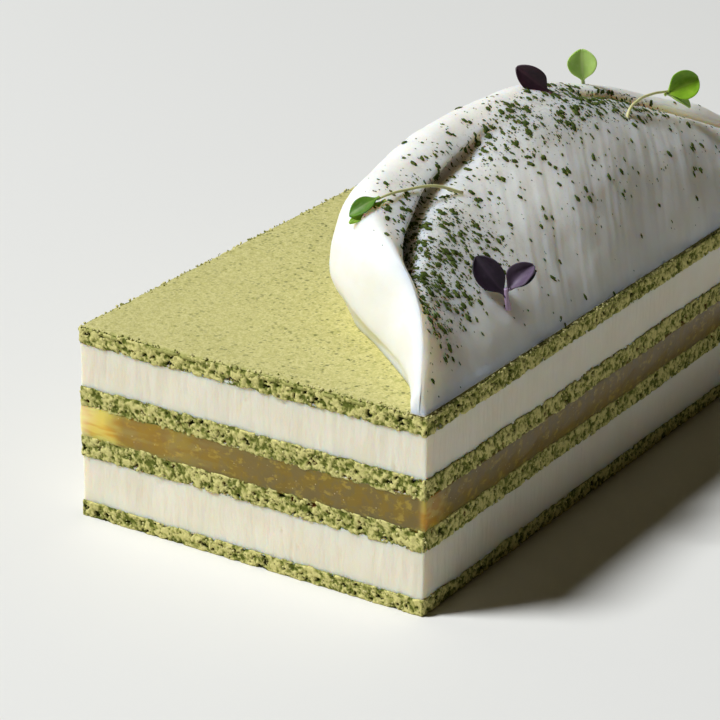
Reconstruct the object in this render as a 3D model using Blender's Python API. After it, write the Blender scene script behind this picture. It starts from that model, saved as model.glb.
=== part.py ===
"""A slice of green tea layer cake with a swept wave of whipped cream and five small sprouts on it.

Metres, +Z up. The slice stands on its flat base, +X runs along its length, and the origin lies under
the middle of its box. Sizes below are in millimetres and become metres through MM.
"""

import math
import random
from collections import namedtuple

import bmesh
import bpy
from mathutils import Vector, noise

MM = 0.001

LENGTH = 134.0
WIDTH = 66.0
GAP = 0.3

# Heights at which one layer ends and the next begins, from the board up.
LEVELS = (0.0, 2.35, 11.2, 14.1, 19.9, 22.8, 30.7, 33.65)
TOP = LEVELS[-1]
LEVEL_WAVE = 0.22
LEVEL_WAVE_LENGTH = 17.0
CAP_RIM = 2.2
LAYER_APART = 43.0

SPONGE_STEP = 3.6
SPONGE_ROWS = 2
SPONGE_PIT = 1.1
SPONGE_PIT_LENGTH = 2.7
SPONGE_ROWS_APART = 9.0
CREAM_STEP = 5.5
CREAM_INSET = 0.2
CREAM_DRAG = 0.15
CREAM_DRAG_LENGTH = 11.0
JELLY_BULGE = 0.4

SPONGE_COLOUR = (0.42, 0.40, 0.12)
CREAM_COLOUR = (0.86, 0.81, 0.68)
WHIPPED_COLOUR = (0.90, 0.88, 0.83)
JELLY_COLOUR = (0.42, 0.29, 0.12)
PURPLE_COLOUR = (0.045, 0.018, 0.045)
GREEN_COLOUR = (0.16, 0.33, 0.03)
PALE_GREEN_COLOUR = (0.42, 0.58, 0.18)

Station = namedtuple("Station", "along foot fold_y fold_z lip_y lip_z reach reach_z")

# The wave of cream, cut across at these places along the slice. Lengths run from the near right
# corner of the cake's top: foot is where the back of the wave meets the cake, fold is the crease
# under the lip, lip is its crest, and reach is the furthest that the lip leans out over its foot.
WAVE = (
    Station(0.0, 3.2, 1.3, 1.0, 1.7, 1.3, 3.1, 0.5),
    Station(3.0, 4.8, 3.0, 4.4, 3.4, 4.8, 4.8, 2.2),
    Station(8.0, 8.0, 5.8, 8.8, 6.4, 9.3, 9.0, 3.4),
    Station(14.0, 14.6, 10.2, 12.6, 11.4, 13.2, 16.2, 3.8),
    Station(20.0, 21.8, 15.4, 14.2, 19.6, 17.2, 27.4, 6.8),
    Station(27.0, 30.3, 20.8, 16.4, 27.6, 20.4, 35.2, 9.5),
    Station(42.0, 35.0, 25.3, 19.4, 31.2, 23.4, 38.8, 15.0),
    Station(58.0, 33.5, 26.0, 22.4, 31.0, 25.8, 37.0, 19.5),
    Station(75.0, 30.5, 24.4, 25.0, 28.4, 27.5, 33.4, 21.2),
    Station(90.0, 27.0, 21.4, 23.8, 25.0, 24.9, 29.2, 19.0),
    Station(104.0, 22.5, 16.6, 18.6, 20.0, 20.6, 24.4, 14.5),
    Station(118.0, 16.5, 10.4, 11.8, 13.6, 15.0, 18.2, 9.5),
    Station(127.0, 11.0, 6.0, 6.4, 8.4, 8.6, 12.0, 4.6),
    Station(133.0, 5.0, 2.0, 1.5, 3.2, 2.2, 4.9, 0.9),
)
WAVE_EDGE = 0.7

# The section's own shape, as shares: how the swept face climbs from its edge to the fold, and how
# the lip stands up from the fold, rounds over and tucks in under its reach.
FACE_CLIMB = ((0.0, 0.0), (0.16, 0.30), (0.43, 0.63), (0.76, 0.90))
LIP_FLANK = (0.30, 0.72)
LIP_SHOULDER = (0.62, 0.25)
LIP_UNDERSIDE = (0.45, 0.42)
WAVE_CUTS = 52
WAVE_TAIL_CROWDING = 0.45
WAVE_SPAN_POINTS = 3
WAVE_SMOOTH_ANGLE = 50.0

Patch = namedtuple("Patch", "count along_from along_to share_from share_to")

# Clumps of green tea powder stuck to the wave. A share runs along the wave's section, from 0 at its
# right edge over the fold at 0.4 and the lip at 0.6 to 1 at its foot.
FLECK_PATCHES = (
    Patch(26, 11.0, 46.0, 0.14, 0.36),
    Patch(8, 46.0, 74.0, 0.24, 0.36),
    Patch(8, 80.0, 100.0, 0.22, 0.37),
    Patch(5, 26.0, 60.0, 0.55, 0.66),
)
FLECK_LENGTH = (1.3, 2.3)
FLECK_WIDTH = 0.8
FLECK_HEIGHT = 0.45
FLECK_SPACING = 2.6
FLECK_SEED = 11

Leaf = namedtuple("Leaf", "base tip width facing cup")
Sprout = namedtuple("Sprout", "colour stem leaves")

STEM_RADIUS = 0.42
LEAF_THICKNESS = 0.45
LEAF_STALK = 0.55
LEAF_WIDEST_PAST = 1.15
LEAF_FULLNESS = 0.75
LEAF_TIP = 0.24
LEAF_ARCH = 0.35
LEAF_RIPPLE = 0.12
LEAF_ROWS = 7
LEAF_HALF_COLUMNS = 2

# Where each sprout stands or lies on the cream, in the slice's own frame: its stem's route from the
# foot up, and its leaves from where they leave the stem.
SPROUTS = {
    "purple_sprout_front": Sprout(
        PURPLE_COLOUR,
        ((-35.2, -28.8, 40.4), (-35.8, -28.3, 42.6), (-35.7, -27.7, 45.0)),
        (
            Leaf((-35.7, -27.8, 44.8), (-36.5, -22.4, 47.4), 4.8, (-0.83, -0.30, 0.44), 0.5),
            Leaf((-35.7, -27.8, 44.8), (-30.3, -30.8, 45.3), 4.6, (-0.45, -0.45, 0.78), 1.0),
        ),
    ),
    "purple_sprout_crest": Sprout(
        PURPLE_COLOUR,
        ((16.6, -14.4, 58.0), (13.8, -11.4, 59.9), (10.7, -9.1, 61.2)),
        (
            Leaf((10.9, -9.3, 61.1), (8.5, -4.1, 64.8), 3.5, (-0.84, -0.46, 0.30), 0.4),
        ),
    ),
    "green_sprout_lip": Sprout(
        GREEN_COLOUR,
        ((-22.7, -11.7, 53.6), (-25.5, -10.8, 54.7), (-31.0, -9.5, 55.8), (-37.4, -8.4, 56.1),
         (-39.9, -7.1, 56.0)),
        (
            Leaf((-39.5, -7.3, 56.1), (-43.8, -3.4, 53.4), 3.0, (-0.62, -0.10, 0.78), 0.3),
            Leaf((-39.5, -7.3, 56.1), (-45.4, -5.4, 52.5), 2.2, (-0.70, -0.45, 0.55), 0.2),
        ),
    ),
    "green_leaf_back": Sprout(
        PALE_GREEN_COLOUR,
        ((25.2, -8.5, 58.7), (25.2, -8.3, 59.5), (25.2, -8.2, 60.3)),
        (
            Leaf((25.2, -8.3, 59.8), (25.0, -7.9, 65.4), 4.8, (-0.85, -0.44, 0.20), 0.4),
        ),
    ),
    "green_sprout_far": Sprout(
        GREEN_COLOUR,
        ((24.4, -18.4, 54.9), (28.4, -17.5, 56.0), (33.1, -16.9, 56.0), (39.4, -17.7, 54.5)),
        (
            Leaf((39.0, -17.7, 54.5), (45.2, -21.3, 55.9), 5.4, (-0.86, -0.42, 0.30), 0.5),
            Leaf((39.0, -17.7, 54.7), (44.1, -20.8, 51.9), 3.0, (-0.40, -0.30, 0.86), 0.3),
        ),
    ),
}


def clear_scene():
    for old in list(bpy.data.objects):
        bpy.data.objects.remove(old, do_unlink=True)


def collection_named(name):
    made = bpy.data.collections.new(name)
    bpy.context.scene.collection.children.link(made)
    return made


def material(name, colour, roughness):
    made = bpy.data.materials.new(name)
    made.use_nodes = True
    shader = made.node_tree.nodes["Principled BSDF"]
    shader.inputs["Base Color"].default_value = (*colour, 1.0)
    shader.inputs["Roughness"].default_value = roughness
    shader.inputs["Metallic"].default_value = 0.0
    return made


def finish_mesh(bm, name, collection, finish, smooth_angle=None):
    """Turns the bmesh, built in millimetres, into a named object in metres."""
    bmesh.ops.recalc_face_normals(bm, faces=bm.faces)
    bmesh.ops.scale(bm, vec=(MM, MM, MM), verts=bm.verts)
    mesh = bpy.data.meshes.new(name)
    bm.to_mesh(mesh)
    bm.free()
    if smooth_angle is not None:
        mesh.shade_smooth()
        mesh.set_sharp_from_angle(angle=smooth_angle)
    made = bpy.data.objects.new(name, mesh)
    made.data.materials.append(finish)
    collection.objects.link(made)
    return made


def wave_noise(x, y, z, length):
    """Smooth noise between about -1 and 1 whose bumps are one length across."""
    return noise.noise(Vector((x, y, z)) / length)


def level(index, x, y):
    """Height of the seam between two layers; the base and the top are flat."""
    if index in (0, len(LEVELS) - 1):
        return LEVELS[index]
    return LEVELS[index] + LEVEL_WAVE * wave_noise(x, y, LAYER_APART * index, LEVEL_WAVE_LENGTH)


def outline(step, inset):
    """Points round the slice's rectangle, each with the direction that points into the cake."""
    half_x, half_y = LENGTH / 2 - inset, WIDTH / 2 - inset
    corners = ((-half_x, -half_y), (half_x, -half_y), (half_x, half_y), (-half_x, half_y))
    points = []
    for index, start in enumerate(corners):
        end = corners[(index + 1) % len(corners)]
        run = Vector(end) - Vector(start)
        count = max(2, round(run.length / step))
        for along in range(count):
            place = Vector(start) + run * (along / count)
            inward = Vector((-run.y, run.x)).normalized()
            if along == 0:
                inward = Vector((-math.copysign(1, start[0]), -math.copysign(1, start[1])))
            points.append((place, inward))
    return points


def add_layer(name, index, collection, finish, step, inset, rows, depth_at):
    """One layer of the cake: rings stacked up its sides, closed by a flat face at each end."""
    bm = bmesh.new()
    rim = outline(step, inset)
    is_base = index == 0
    is_top = index == len(LEVELS) - 2

    def ring(inward_by, height_of):
        made = []
        for place, inward in rim:
            x, y = place + inward * inward_by(place)
            made.append(bm.verts.new((x, y, height_of(x, y))))
        return made

    def low(x, y):
        return level(index, x, y) + (0.0 if is_base else GAP / 2)

    def high(x, y):
        return level(index + 1, x, y) - (0.0 if is_top else GAP / 2)

    rings = []
    if not is_base:
        rings.append(ring(lambda place: CAP_RIM, lambda x, y: LEVELS[index] + GAP / 2))
    for row in range(rows + 1):
        share = row / rows
        rings.append(ring(
            lambda place: depth_at(place, share),
            lambda x, y: low(x, y) * (1 - share) + high(x, y) * share,
        ))
    if not is_top:
        rings.append(ring(lambda place: CAP_RIM, lambda x, y: LEVELS[index + 1] - GAP / 2))
    else:
        rings.append(ring(lambda place: CAP_RIM, lambda x, y: TOP))
    for below, above in zip(rings, rings[1:]):
        for spot in range(len(rim)):
            after = (spot + 1) % len(rim)
            bm.faces.new((below[spot], below[after], above[after], above[spot]))
    bm.faces.new(list(reversed(rings[0])))
    bm.faces.new(rings[-1])
    return finish_mesh(bm, name, collection, finish)


def sponge_depth(index):
    """Crumb left by the knife: flat where it cut clean, with pits where it met a hole."""
    def depth(place, share):
        row = SPONGE_ROWS_APART * share + LAYER_APART * index
        found = wave_noise(place.x, place.y, row, SPONGE_PIT_LENGTH)
        return SPONGE_PIT * max(0.0, found)
    return depth


def cream_depth(index):
    """A smooth cut, dragged a little in and out by the knife."""
    def depth(place, share):
        return CREAM_DRAG * (1 + wave_noise(place.x, place.y, LAYER_APART * index, CREAM_DRAG_LENGTH))
    return depth


def jelly_depth(place, share):
    """The jelly swells out a little at half its height."""
    return JELLY_BULGE * (2 * share - 1) ** 2


def add_cake(collection):
    sponge = material("sponge", SPONGE_COLOUR, 0.95)
    cream = material("cream", CREAM_COLOUR, 0.55)
    jelly = material("jelly", JELLY_COLOUR, 0.25)
    for name, index in (("sponge_base", 0), ("sponge_lower", 2), ("sponge_upper", 4), ("sponge_top", 6)):
        add_layer(name, index, collection, sponge, SPONGE_STEP, 0.0, SPONGE_ROWS, sponge_depth(index))
    for name, index in (("cream_lower", 1), ("cream_upper", 5)):
        add_layer(name, index, collection, cream, CREAM_STEP, CREAM_INSET, 1, cream_depth(index))
    add_layer("jelly_layer", 3, collection, jelly, CREAM_STEP, 0.0, 2, jelly_depth)


def hermite(before, start, end, after, share):
    """One coordinate of a smooth curve through start and end, by its neighbours' slopes."""
    (a, va), (b, vb), (c, vc), (d, vd) = before, start, end, after
    span = c - b
    slope_b = (vc - va) / (c - a) * span
    slope_c = (vd - vb) / (d - b) * span
    s2, s3 = share * share, share ** 3
    return ((2 * s3 - 3 * s2 + 1) * vb + (s3 - 2 * s2 + share) * slope_b
            + (3 * s2 - 2 * s3) * vc + (s3 - s2) * slope_c)


def station_at(along):
    """The wave's sizes at any place along it, smooth between the stations."""
    last = len(WAVE) - 2
    here = next((i for i in range(last + 1) if along <= WAVE[i + 1].along), last)
    quad = [WAVE[max(0, min(len(WAVE) - 1, here + shift))] for shift in (-1, 0, 1, 2)]
    if here == 0:
        quad[0] = Station(*(2 * b - c for b, c in zip(WAVE[0], WAVE[1])))
    if here == last:
        quad[3] = Station(*(2 * c - b for b, c in zip(WAVE[-2], WAVE[-1])))
    share = (along - quad[1].along) / (quad[2].along - quad[1].along)
    values = [along]
    for field in range(1, len(Station._fields)):
        values.append(hermite(*[(s.along, s[field]) for s in quad], share))
    return Station(*values)


def wave_section(at):
    """Points of the wave's outline across the slice, from its right edge over the lip to its foot."""
    edge, fold, lip = (WAVE_EDGE, 0.0), (at.fold_y, at.fold_z), (at.lip_y, at.lip_z)
    reach, foot = (at.reach, at.reach_z), (at.foot, 0.0)
    knots = [between(edge, fold, *shares) for shares in FACE_CLIMB]
    knots += [fold, between(fold, lip, *LIP_FLANK), lip, between(lip, reach, *LIP_SHOULDER)]
    knots += [reach, between(foot, reach, *LIP_UNDERSIDE), foot]
    return smooth_through(knots, WAVE_SPAN_POINTS)


def between(start, end, share_y, share_z):
    """A point of the box between two others, by its share of the way across and of the way up."""
    return (start[0] + (end[0] - start[0]) * share_y, start[1] + (end[1] - start[1]) * share_z)


def smooth_through(knots, pieces):
    """A Catmull-Rom curve through the knots, with so many pieces to each span."""
    path = []
    for index in range(len(knots) - 1):
        before = knots[max(0, index - 1)]
        start, end = knots[index], knots[index + 1]
        after = knots[min(len(knots) - 1, index + 2)]
        for piece in range(pieces):
            t = piece / pieces
            path.append(tuple(
                0.5 * (2 * q + (r - p) * t + (2 * p - 5 * q + 4 * r - s) * t * t
                       + (3 * q - p - 3 * r + s) * t ** 3)
                for p, q, r, s in zip(before, start, end, after)
            ))
    path.append(knots[-1])
    return path


def wave_places():
    """Places of the cuts, closer together at the two tails."""
    first, last = WAVE[0].along, WAVE[-1].along
    for cut in range(WAVE_CUTS + 1):
        even = cut / WAVE_CUTS
        eased = 0.5 - 0.5 * math.cos(math.pi * even)
        yield first + (last - first) * (even + (eased - even) * WAVE_TAIL_CROWDING)


def wave_point(along, share):
    """A place on the wave, by how far along the slice and how far over its section it lies."""
    section = wave_section(station_at(along))
    place = share * (len(section) - 1)
    index = min(int(place), len(section) - 2)
    (y_a, z_a), (y_b, z_b) = section[index], section[index + 1]
    part = place - index
    return Vector((
        along - LENGTH / 2,
        y_a + (y_b - y_a) * part - WIDTH / 2,
        TOP + GAP + z_a + (z_b - z_a) * part,
    ))


def fleck_places(draw):
    """Scattered places for the powder's clumps, none closer to another than the spacing."""
    places = []
    for patch in FLECK_PATCHES:
        wanted = len(places) + patch.count
        while len(places) < wanted:
            along = draw.uniform(patch.along_from, patch.along_to)
            share = draw.uniform(patch.share_from, patch.share_to)
            point = wave_point(along, share)
            if all((point - other).length > FLECK_SPACING for other, _, _ in places):
                places.append((point, along, share))
    return places


def add_fleck(point, along, share, length, collection, finish):
    """One clump of powder, stretched down the slope that it stuck to and half sunk in the cream."""
    down = (wave_point(along, share - 0.01) - wave_point(along, share + 0.01)).normalized()
    across = (wave_point(along + 0.5, share) - wave_point(along - 0.5, share)).normalized()
    up = across.cross(down).normalized()
    bm = bmesh.new()
    bmesh.ops.create_icosphere(bm, subdivisions=1, radius=0.5)
    side = down.cross(up)
    for vert in bm.verts:
        x, y, z = vert.co
        vert.co = point + down * (x * length) + side * (y * FLECK_WIDTH) + up * (z * FLECK_HEIGHT * 2)
    return finish_mesh(bm, "fleck", collection, finish)


def union_with(base, collection):
    """Joins every object of the collection to the base object and removes them."""
    joining = base.modifiers.new("union", "BOOLEAN")
    joining.operation = "UNION"
    joining.operand_type = "COLLECTION"
    joining.collection = collection
    joining.solver = "EXACT"
    bpy.context.view_layer.update()
    graph = bpy.context.evaluated_depsgraph_get()
    joined = bpy.data.meshes.new_from_object(base.evaluated_get(graph))
    base.modifiers.clear()
    base.data = joined
    for other in list(collection.objects):
        bpy.data.objects.remove(other, do_unlink=True)
    return base


def add_whipped_cream(collection, helpers):
    bm = bmesh.new()
    rings = []
    for along in wave_places():
        section = wave_section(station_at(along))
        rings.append([
            bm.verts.new((along - LENGTH / 2, across - WIDTH / 2, TOP + GAP + max(0.0, up)))
            for across, up in section
        ])
    for near, far in zip(rings, rings[1:]):
        for spot in range(len(near)):
            after = (spot + 1) % len(near)
            bm.faces.new((near[spot], near[after], far[after], far[spot]))
    bm.faces.new(rings[0])
    bm.faces.new(list(reversed(rings[-1])))
    finish = material("whipped_cream", WHIPPED_COLOUR, 0.5)
    wave = finish_mesh(bm, "whipped_cream", collection, finish, math.radians(WAVE_SMOOTH_ANGLE))
    draw = random.Random(FLECK_SEED)
    for point, along, share in fleck_places(draw):
        add_fleck(point, along, share, draw.uniform(*FLECK_LENGTH), helpers, finish)
    return union_with(wave, helpers)


def leaf_half_width(leaf, share):
    """Half the leaf's width: a narrow stalk, widest past the middle, and a rounded tip."""
    body = max(0.0, math.sin(math.pi * share ** LEAF_WIDEST_PAST)) ** LEAF_FULLNESS
    return max(LEAF_STALK / 2 * (1 - share), leaf.width / 2 * body, LEAF_TIP / 2)


def add_leaf(leaf, collection, finish):
    """A thin wavy solid: one sheet of triangles and the same sheet again a leaf's thickness below."""
    base, tip = Vector(leaf.base), Vector(leaf.tip)
    axis = (tip - base).normalized()
    up = Vector(leaf.facing)
    up = (up - axis * up.dot(axis)).normalized()
    side = up.cross(axis)
    bm = bmesh.new()
    columns = 2 * LEAF_HALF_COLUMNS + 1
    sheets = []
    for lift in (0.5, -0.5):
        sheet = []
        for row in range(LEAF_ROWS + 1):
            share = row / LEAF_ROWS
            middle = base + (tip - base) * share + up * (LEAF_ARCH * math.sin(math.pi * share))
            half = leaf_half_width(leaf, share)
            for column in range(columns):
                across = column / LEAF_HALF_COLUMNS - 1
                ripple = LEAF_RIPPLE * abs(across) * math.sin(7.0 * share + 2.0 * across)
                rise = leaf.cup * across * across * half / leaf.width * 2 + ripple
                place = middle + side * (across * half) + up * (rise + lift * LEAF_THICKNESS)
                sheet.append(bm.verts.new(place))
        sheets.append(sheet)
    top, bottom = sheets

    def at(sheet, row, column):
        return sheet[row * columns + column]

    for row in range(LEAF_ROWS):
        for column in range(columns - 1):
            corners = ((row, column), (row, column + 1), (row + 1, column + 1), (row + 1, column))
            a, b, c, d = (at(top, *corner) for corner in corners)
            bm.faces.new((a, b, c))
            bm.faces.new((a, c, d))
            a, b, c, d = (at(bottom, *corner) for corner in corners)
            bm.faces.new((a, c, b))
            bm.faces.new((a, d, c))
    rim = [(0, column) for column in range(columns)]
    rim += [(row, columns - 1) for row in range(1, LEAF_ROWS + 1)]
    rim += [(LEAF_ROWS, column) for column in range(columns - 2, -1, -1)]
    rim += [(row, 0) for row in range(LEAF_ROWS - 1, 0, -1)]
    for here, after in zip(rim, rim[1:] + rim[:1]):
        bm.faces.new((at(top, *here), at(bottom, *here), at(bottom, *after), at(top, *after)))
    return finish_mesh(bm, "leaf", collection, finish)


def add_stem(name, route, collection, finish):
    """A stem as a bevelled curve through its route, made a closed mesh so that leaves can join it."""
    points = smooth_through(route, 3)
    curve = bpy.data.curves.new(name, "CURVE")
    curve.dimensions = "3D"
    curve.bevel_depth = STEM_RADIUS * MM
    curve.bevel_resolution = 1
    curve.use_fill_caps = True
    spline = curve.splines.new("POLY")
    spline.points.add(len(points) - 1)
    for spot, point in zip(spline.points, points):
        spot.co = (*(value * MM for value in point), 1.0)
    drawn = bpy.data.objects.new(name + "_route", curve)
    collection.objects.link(drawn)
    bpy.context.view_layer.update()
    graph = bpy.context.evaluated_depsgraph_get()
    mesh = bpy.data.meshes.new_from_object(drawn.evaluated_get(graph))
    bm = bmesh.new()
    bm.from_mesh(mesh)
    bmesh.ops.remove_doubles(bm, verts=bm.verts, dist=0.00001)
    bmesh.ops.recalc_face_normals(bm, faces=bm.faces)
    bm.to_mesh(mesh)
    bm.free()
    made = bpy.data.objects.new(name, mesh)
    made.matrix_world = drawn.matrix_world
    bpy.data.objects.remove(drawn, do_unlink=True)
    made.data.materials.append(finish)
    collection.objects.link(made)
    return made


def add_sprouts(collection, helpers):
    for name, sprout in SPROUTS.items():
        finish = material(name, sprout.colour, 0.6)
        stem = add_stem(name, sprout.stem, collection, finish)
        for leaf in sprout.leaves:
            add_leaf(leaf, helpers, finish)
        union_with(stem, helpers)


def main():
    clear_scene()
    collection = collection_named("green_tea_cake_slice")
    helpers = collection_named("joined_pieces")
    helpers.hide_render = True
    add_cake(collection)
    add_whipped_cream(collection, helpers)
    add_sprouts(collection, helpers)


main()
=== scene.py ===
"""Looks of a green tea layer cake slice with a swept wave of whipped cream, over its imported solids.

Points are worked out in millimetres and turned into metres when a mesh is finished. +X runs along the
slice away from its near cut end, and +Y across it, away from the side that the cream runs along.
"""

import logging
import math
from collections.abc import Callable, Iterator, Sequence
from contextlib import contextmanager
from dataclasses import dataclass, field
from enum import Enum

import bmesh
import bpy
import numpy as np
from mathutils import Matrix, Vector, noise


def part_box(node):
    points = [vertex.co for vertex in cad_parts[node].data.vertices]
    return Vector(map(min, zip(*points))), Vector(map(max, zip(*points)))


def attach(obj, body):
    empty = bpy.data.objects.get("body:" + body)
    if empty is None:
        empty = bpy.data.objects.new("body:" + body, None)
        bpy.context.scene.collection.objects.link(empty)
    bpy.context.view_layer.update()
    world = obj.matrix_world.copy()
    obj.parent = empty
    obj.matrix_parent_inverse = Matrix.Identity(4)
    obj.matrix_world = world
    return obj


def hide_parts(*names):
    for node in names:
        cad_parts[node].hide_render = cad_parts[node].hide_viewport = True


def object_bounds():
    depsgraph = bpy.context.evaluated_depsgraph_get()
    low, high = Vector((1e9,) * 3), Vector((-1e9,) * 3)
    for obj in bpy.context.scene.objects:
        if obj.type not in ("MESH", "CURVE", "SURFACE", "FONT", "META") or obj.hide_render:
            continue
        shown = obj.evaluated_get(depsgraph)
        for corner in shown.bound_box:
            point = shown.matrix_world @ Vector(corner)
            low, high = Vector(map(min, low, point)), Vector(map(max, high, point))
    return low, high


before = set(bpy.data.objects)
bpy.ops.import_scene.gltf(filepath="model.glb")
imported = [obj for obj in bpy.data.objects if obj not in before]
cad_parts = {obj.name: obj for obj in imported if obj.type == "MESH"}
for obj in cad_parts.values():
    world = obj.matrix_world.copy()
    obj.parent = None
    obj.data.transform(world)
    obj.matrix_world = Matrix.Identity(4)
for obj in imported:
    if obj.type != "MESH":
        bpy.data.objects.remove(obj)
CAD_LOW, CAD_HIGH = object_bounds()

log = logging.getLogger("cake")

Points = np.ndarray
Colour = tuple[float, float, float]
Triple = tuple[float, float, float]

MM = 0.001
BODY = "root"
LENGTH = (CAD_HIGH.x - CAD_LOW.x) / MM
WIDTH = (CAD_HIGH.y - CAD_LOW.y) / MM
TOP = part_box("sponge_top")[1].z / MM

# Heights at which one layer of the solids ends and the next begins, with the seams' slow wave.
LEVELS = (0.0, 2.35, 11.2, 14.1, 19.9, 22.8, 30.7, TOP)
LEVEL_WAVE = 0.22
LEVEL_WAVE_LENGTH = 17.0
LAYER_APART = 43.0

# The most pieces that one round of cutting makes, and the corners past which a face closes an end.
MOST_CUTS = 100
MOST_CORNERS = 40


class Slot(Enum):
    """The record's material slots."""

    SPONGE = "sponge"
    CREAM = "cream_filling"
    JELLY = "fruit_jelly"
    WHIPPED = "whipped_cream"
    PURPLE = "purple_leaf"
    GREEN = "green_leaf"
    PALE_GREEN = "pale_green_leaf"


def cell_random(cells: np.ndarray, seed: int) -> np.ndarray:
    """Draws one number for each whole-numbered cell, the same on every run.

    Args:
        cells: Whole numbers, shaped (count, 3).
        seed: Which of many such draws is meant.

    Returns:
        A number from 0 to 1 for each cell.
    """
    whole = cells.astype(np.int64)
    mixed = whole[:, 0] * 73856093 ^ whole[:, 1] * 19349663 ^ whole[:, 2] * 83492791 ^ seed * 2654435
    for shift, factor in ((15, 2246822519), (13, 3266489917)):
        mixed &= 0xFFFFFFFF
        mixed = (mixed ^ (mixed >> shift)) * factor
    mixed &= 0xFFFFFFFF
    return (mixed ^ (mixed >> 16)) / 0xFFFFFFFF


def soft_noise(points: Points, size: float, seed: int = 0, layers: int = 1) -> np.ndarray:
    """Smooth noise, with finer and weaker noise added for each further layer.

    Args:
        points: Places in millimetres, shaped (count, 3).
        size: Width of the largest bumps in millimetres.
        seed: Which of many such fields is meant.
        layers: How many sizes are added, each half as large as the one before.

    Returns:
        Numbers from about -1 to 1.
    """
    total = np.zeros(len(points))
    weight = 0.0
    for layer in range(layers):
        scaled = points / size * 2.0 ** layer
        corner = np.floor(scaled)
        part = scaled - corner
        ease = part * part * part * (part * (part * 6 - 15) + 10)
        found = np.zeros(len(points))
        for offset in np.ndindex(2, 2, 2):
            share = np.prod(np.where(offset, ease, 1 - ease), axis=1)
            found += share * cell_random(corner + offset, seed + 17 * layer)
        total += (found * 2 - 1) * 0.55 ** layer
        weight += 0.55 ** layer
    return total / weight * 1.5


def nearest_pore(points: Points, spacing: float, seed: int) -> tuple[np.ndarray, np.ndarray]:
    """Finds the nearest of many pores scattered one to a cell.

    Args:
        points: Places in millimetres, shaped (count, 3).
        spacing: Width of a cell in millimetres.
        seed: Which of many such scatters is meant.

    Returns:
        The distance to the nearest pore's middle in millimetres, and that pore's own random number.
    """
    scaled = points / spacing
    corner = np.floor(scaled)
    nearest = np.full(len(points), np.inf)
    owner = np.zeros(len(points))
    for offset in np.ndindex(3, 3, 3):
        cell = corner + offset - 1
        middle = cell + np.stack([cell_random(cell, seed + axis) for axis in range(3)], axis=1)
        away = np.linalg.norm(scaled - middle, axis=1)
        closer = away < nearest
        nearest = np.where(closer, away, nearest)
        owner = np.where(closer, cell_random(cell, seed + 3), owner)
    return nearest * spacing, owner


def ramp(values: np.ndarray, start: float, end: float) -> np.ndarray:
    """Rises smoothly from 0 at the start to 1 at the end; the end may lie below the start."""
    share = np.clip((values - start) / (end - start), 0, 1)
    return share * share * (3 - 2 * share)


def bell(values: np.ndarray, middle: float, width: float) -> np.ndarray:
    """A smooth bump of height 1 round the middle, as wide as its standard deviation says."""
    return np.exp(-0.5 * ((values - middle) / width) ** 2)


def seam_height(index: int, points: Points) -> np.ndarray:
    """Height of the seam between two layers of the cake, as the solids have it.

    Args:
        index: Number of the seam, from 0 under the lowest layer.
        points: Places in millimetres, shaped (count, 3).

    Returns:
        A height in millimetres for each place.
    """
    if index in (0, len(LEVELS) - 1):
        return np.full(len(points), LEVELS[index])
    seam = LAYER_APART * index
    found = [noise.noise(Vector((x, y, seam)) / LEVEL_WAVE_LENGTH) for x, y, _ in points]
    return LEVELS[index] + LEVEL_WAVE * np.array(found)


def select_alone(piece: bpy.types.Object) -> None:
    """Selects one piece alone and makes it the active one."""
    bpy.ops.object.select_all(action="DESELECT")
    piece.select_set(True)
    bpy.context.view_layer.objects.active = piece


@contextmanager
def editing(piece: bpy.types.Object) -> Iterator[None]:
    """Selects one piece alone and opens its mesh for editing, and closes it again afterwards."""
    select_alone(piece)
    bpy.ops.object.mode_set(mode="EDIT")
    yield
    bpy.ops.object.mode_set(mode="OBJECT")


def turn_outward() -> None:
    """Turns every face of the mesh that is open for editing to the outside."""
    bpy.ops.mesh.select_all(action="SELECT")
    bpy.ops.mesh.normals_make_consistent(inside=False)


def pick_edges(piece: bpy.types.Object, test: Callable[[bmesh.types.BMEdge], bool]) -> None:
    """Selects the edges that pass a test, in edit mode."""
    bpy.ops.mesh.select_mode(type="EDGE")
    bpy.ops.mesh.select_all(action="DESELECT")
    mesh = bmesh.from_edit_mesh(piece.data)
    for edge in mesh.edges:
        if test(edge):
            edge.select_set(True)
    bmesh.update_edit_mesh(piece.data)


def pick_faces(piece: bpy.types.Object, test: Callable[[bmesh.types.BMFace], bool]) -> None:
    """Selects the faces that pass a test, in edit mode."""
    bpy.ops.mesh.select_mode(type="FACE")
    bpy.ops.mesh.select_all(action="DESELECT")
    mesh = bmesh.from_edit_mesh(piece.data)
    mesh.normal_update()
    for face in mesh.faces:
        if test(face):
            face.select_set(True)
    bmesh.update_edit_mesh(piece.data)


def runs_along(axis: int) -> Callable[[bmesh.types.BMEdge], bool]:
    """A test for edges that run along one axis, 0 for X to 2 for Z."""
    def test(edge: bmesh.types.BMEdge) -> bool:
        """True where the edge's run has nothing but its part along the axis."""
        run = edge.verts[1].co - edge.verts[0].co
        return abs(run[axis]) > 0.99 * run.length
    return test


def faces_along(axis: int, sign: int) -> Callable[[bmesh.types.BMFace], bool]:
    """A test for faces whose normal points along one axis, to its positive or negative side."""
    return lambda face: face.normal[axis] * sign > 0.9


def cut_across(piece: bpy.types.Object, axis: int, count: int) -> None:
    """Cuts a block's edges along one axis into so many pieces, in two rounds where one can't.

    Args:
        piece: The block, in edit mode.
        axis: 0 for X to 2 for Z.
        count: Wanted number of pieces. The nearest product of the two rounds is made.
    """
    first = max(1, math.ceil(count / MOST_CUTS))
    second = round(count / first)
    for pieces in (first, second):
        if pieces > 1:
            pick_edges(piece, runs_along(axis))
            bpy.ops.mesh.subdivide(number_cuts=pieces - 1)


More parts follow.
